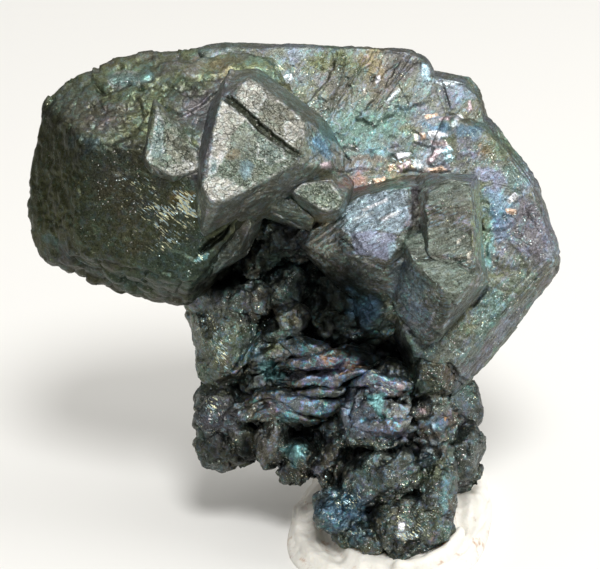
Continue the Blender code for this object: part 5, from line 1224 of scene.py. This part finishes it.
# The size of each crystal's cells, how crisp its edges are, and its relief.
STYLES = {
    "left_block": dict(cell=0.17, crisp=40, rough=0.65, foil=0.1, tread=0.45, rise=-30, hem=0.4, crust=0.9),
    "left_facet": dict(cell=0.13, crisp=90, rough=0.15, foil=0.1, tread=0.12, rise=60),
    "ridge": dict(cell=0.13, crisp=110, rough=0.15, foil=0.08, tread=0.12, rise=-45),
    "ridge_tip": dict(cell=0.12, crisp=90, rough=0.2, foil=0.1, tread=0.15, rise=0),
    "brim_left": dict(cell=0.13, crisp=40, rough=0.5, foil=0.4, tread=0.3, rise=45),
    "brim_top": dict(cell=0.13, crisp=40, rough=0.5, foil=0.4, tread=0.3, rise=0),
    "plate_top": dict(cell=0.13, crisp=50, rough=0.65, foil=0.2, tread=0.32, rise=58, lines=0.2, steps=0.25),
    "plate_upper": dict(cell=0.14, crisp=70, rough=0.65, foil=0.2, tread=0.35, rise=40, lines=0.2, steps=0.7),
    "plate_right": dict(cell=0.135, crisp=70, rough=0.75, foil=0.2, tread=0.34, rise=-55, lines=0.15, steps=0.8),
    "plate_lower_edge": dict(cell=0.15, crisp=80, rough=0.5, foil=0.2, tread=0.4, rise=42, lines=0.6, steps=1),
    "front_block": dict(cell=0.12, crisp=80, rough=0.4, foil=0.3, tread=0.4, rise=30, lines=1.5),
    "front_crystal": dict(cell=0.12, crisp=60, rough=0.6, foil=0.2, tread=0.3, rise=10, lines=0.2, steps=0.1),
    "front_foot": dict(cell=0.12, crisp=70, rough=0.7, foil=0.25, tread=0.35, rise=-35, lines=0.2, steps=0.1),
    "front_slope": dict(cell=0.14, crisp=50, rough=0.7, foil=0.8, tread=1.2, rise=-40, lines=1.0),
    "back_block": dict(cell=0.26, crisp=50, rough=0.7, foil=0.5, tread=0.8, rise=20),
    "back_plate": dict(cell=0.26, crisp=50, rough=0.7, foil=0.5, tread=0.8, rise=-50),
    "back_facet": dict(cell=0.24, crisp=50, rough=0.5, foil=0.4, tread=0.5, rise=50),
}


def crystals(*names):
    """The skins of these crystals, each with its own relief."""
    skins = []
    for name in names:
        style = dict(STYLES[name])
        cell, crisp = style.pop("cell"), style.pop("crisp")
        p, out, edge, quads = shell(sum(CRYSTALS[name], []), cell, crisp, CRYSTAL_BEFORE_WEAR)
        h = crystal_relief(p, out, edge, 40 + 13 * len(name), **style)
        # The last value sets the painted shade in the pits of the relief.
        skins.append((p + out * h[:, None], out, quads, edge, smooth(-h, 0.05, 0.6) * 0.5))
    return skins


# Lumps that are smoother than the rest, and how much of the relief they keep.
CALM = {"stem_left": 0.4, "stem_shoulder": 0.5, "plate_knob": 0.5, "right_back": 0.5, "right_prism": 0.6,
        "knob_left": 0.6, "knob_middle": 0.7, "foot_prism": 0.7, "knob_blue": 0.7}


def lumps(names, cell, crisp=24, rough=1.0, folds=0.0):
    """The skins of these lumps, fuller in the crooks, swayed and rough. The hidden ones are meshed coarsely."""
    skins = []
    for name in names:
        seed = list(LUMPS).index(name)
        inner = "core" in name or "back" in name
        p, out, edge, quads = shell(lump_corners(*LUMPS[name], seed), cell * (2.2 if inner else 1), crisp,
                                    LUMP_BEFORE_WEAR)
        fuller = crook(p)
        p = p + out * (0.6 * fuller)[:, None] + sway(p)
        out = skin_of(quads, p)
        wear = CALM.get(name, 1.0)
        h = lump_relief(p, out, rough * wear, folds * wear)
        # Painted shade: fuller in the crooks between lumps and in the pits of the relief.
        sunk = np.clip(smooth(fuller, 0.25, 0.8) + 0.6 * smooth(-h, 0.05, 0.5), 0, 1)
        skins.append((p + out * h[:, None], out, quads, 0 * edge, sunk))
    return skins


def ridges(cell):
    """The skins of the folded ridges across the stem."""
    skins = []
    for path in FOLDS:
        p, out, edge, quads = tube(path, cell)
        p = p + 0.9 * sway(p)
        h = 0.7 * lump_relief(p, out, 0.6, 0.25)
        # The last value sets the painted shade in the pits of the relief.
        skins.append((p + out * h[:, None], out, quads, edge, 0.5 * smooth(-h, 0.0, 0.35)))
    return skins


def paints():
    """How each piece of the stone is painted."""
    plate = tarnish("GREY", film=0.3, grit=0.7, rough=0.46, drift=0.5, strong=0.80, top=0.4, rim=0.0,
                    drifts=("OLIVE", "TEAL", "PERIWINKLE", "TAN", "MAUVE"))
    stem = tarnish("SLATE", film=0.45, grit=0.9, rough=0.37, drift=0.45, strong=0.82)
    foot = tarnish("SLATE", film=0.5, grit=1.2, rough=0.36, drift=0.45, strong=0.70)
    return {
        "left_block": tarnish("MOSS", film=0.25, grit=0.0, rough=0.42, drift=0.4, strong=0.30, top=1.9, rim=0.0,
                              paler=PALER, drifts=("MOSS", "TEAL", "SLATE", "MAUVE", "BROWN")),
        "ridge_crystal": tarnish("GREY", film=0.3, grit=0.2, rough=0.42, drift=0.3, strong=0.45, top=0.8,
                                 flank=1.2),
        "upper_plate": plate, "right_plate": plate, "plate_corners": plate,
        "front_crystals": tarnish("GREY", film=0.4, grit=0.5, rough=0.39, drift=0.35, strong=0.58, top=0.5,
                                  flank=0.35, paler=PALER_FRONT),
        "back_crystals": tarnish("MOSS", film=0.5, grit=0.5, rough=0.38, drift=0.55, strong=0.8),
        "stem": stem, "cavity": stem, "stem_grains": stem,
        "stem_folds": tarnish("SLATE", film=0.9, grit=0.8, rough=0.42, drift=0.55, strong=0.90),
        "knobs": tarnish("SLATE", film=0.4, grit=1.0, rough=0.38, drift=0.45, strong=0.52),
        "foot": foot, "foot_grains": foot,
    }


def main():
    """Makes the stone's pieces and the putty."""
    dull = sulfide("dull sulfide", bumps=0.00010, cells=0.16, streak=0.5)
    matt = sulfide("matt sulfide", bumps=0.00006, cells=0.05, streak=0.4)
    foil = sulfide("foil sulfide", rise=55, stretch=2.0, bumps=0.00007, cells=0.09, streak=0.45, close=2.8)
    striped = sulfide("striped sulfide", rise=24, stretch=5.0, bumps=0.00012, cells=0.10, streak=0.8, close=3.8)
    crusty = sulfide("crusty sulfide", bumps=0.00012, cells=0.22, streak=0.5)

    def named(*starts):
        return [name for name in LUMPS if name.startswith(starts)]

    pieces = {
        "left_block": (matt, crystals("left_block")),
        "ridge_crystal": (dull, crystals("ridge", "ridge_tip", "brim_left", "brim_top", "left_facet")),
        "upper_plate": (foil, crystals("plate_top")),
        "right_plate": (foil, crystals("plate_right")),
        "plate_corners": (foil, crystals("plate_upper", "plate_lower_edge")),
        "front_crystals": (striped, crystals("front_block", "front_crystal", "front_foot", "front_slope")),
        "back_crystals": (foil, crystals("back_block", "back_plate", "back_facet")),
        "stem": (crusty, lumps(named("stem", "ridge", "core"), cell=0.17, folds=0.18)),
        "cavity": (crusty, lumps(named("cavity"), cell=0.17, folds=0.18)),
        "stem_folds": (crusty, ridges(cell=0.13)),
        "knobs": (crusty, lumps(named("knob", "plate", "right", "back"), cell=0.15, rough=0.9)),
        "foot": (crusty, lumps(named("foot", "boulder"), cell=0.15, crisp=44)),
    }
    painted = paints()
    for name, (metal, skins) in pieces.items():
        show(joined(name, skins, metal, painted[name]), "chalcocite_specimen")
    for name, hosts, count, seed in (("foot_grains", ("foot", "knobs"), 1000, 5),
                                     ("stem_grains", ("stem", "stem_folds"), 400, 6)):
        skins = sum((pieces[host][1] for host in hosts), [])
        grains = scatter(skins, count, seed, low=0.14, high=0.5)
        show(joined(name, [grains], crusty, painted[name], flat=True), "chalcocite_specimen")
    show(putty_pad(putty_white("mineral putty")), "putty_pad")


def studio():
    """A pale floor, a soft key from the front and above, a faint lamp beside and a world that is pale above."""
    mesh = bpy.data.meshes.new("floor")
    bm = bmesh.new()
    bmesh.ops.create_grid(bm, x_segments=1, y_segments=1, size=1.5)
    bm.to_mesh(mesh)
    bm.free()
    floor = bpy.data.objects.new("floor", mesh)
    bpy.context.scene.collection.objects.link(floor)
    s = Shade("pale floor")
    s.fill(s.shader, {"Base Color": (0.86, 0.85, 0.82, 1), "Roughness": 0.8})
    mesh.materials.append(s.material)
    # Each lamp's name, direction, distance, size and watts. Both aim at the same place.
    aim = Vector((-0.005, 0.005, 0.02))
    for name, way, far, size, watts in (("key", (0.08, -0.61, 0.79), 0.90, 0.28, 5.4),
                                        ("side", (0.95, -0.1, 0.30), 0.3, 0.2, 0.5)):
        light = bpy.data.lights.new(name, "AREA")
        light.shape, light.size, light.energy = "DISK", size, watts
        lamp = bpy.data.objects.new(name, light)
        way = Vector(way).normalized()
        lamp.location = aim + way * far
        lamp.rotation_mode = "QUATERNION"
        lamp.rotation_quaternion = way.to_track_quat("Z", "Y")
        bpy.context.scene.collection.objects.link(lamp)
    world = bpy.data.worlds.new("studio")
    world.use_nodes = True
    nodes, links = world.node_tree.nodes, world.node_tree.links
    place, split, ramp = (nodes.new(kind) for kind in
                          ("ShaderNodeTexCoord", "ShaderNodeSeparateXYZ", "ShaderNodeValToRGB"))
    links.new(place.outputs["Generated"], split.inputs[0])
    links.new(split.outputs["Z"], ramp.inputs[0])
    links.new(ramp.outputs[0], nodes["Background"].inputs["Color"])
    # The world's greys by height, from the horizon to straight up.
    for i, (height, grey) in enumerate(((0.0, 0.10), (0.35, 0.18), (0.62, 0.62), (1.0, 0.90))):
        stop = ramp.color_ramp.elements[i] if i < 2 else ramp.color_ramp.elements.new(height)
        stop.position, stop.color = height, (grey, grey * 0.985, grey * 0.955, 1)
    bpy.context.scene.world = world
    bpy.context.scene.view_settings.view_transform = "Standard"


def photograph_camera():
    """A long lens that looks square on to the broad crystal faces, from 22 degrees above the floor."""
    data = bpy.data.cameras.new("camera")
    data.lens, data.sensor_width = LENS, SENSOR
    data.clip_start = 0.01
    camera = bpy.data.objects.new("camera", data)
    bpy.context.scene.collection.objects.link(camera)
    back = Vector((0, -math.cos(LEAN), math.sin(LEAN)))
    up = Vector((0, math.sin(LEAN), math.cos(LEAN)))
    aim = (Vector((FIELD_MIDDLE[0], 0, 0)) + up * FIELD_MIDDLE[1] + back * AIM_FORWARD) * TO_METRES
    camera.location = aim + back * (FIELD_WIDTH * LENS / SENSOR * TO_METRES)
    camera.rotation_mode = "QUATERNION"
    camera.rotation_quaternion = (-back).to_track_quat("-Z", "Y")
    bpy.context.scene.camera = camera


main()
studio()
photograph_camera()
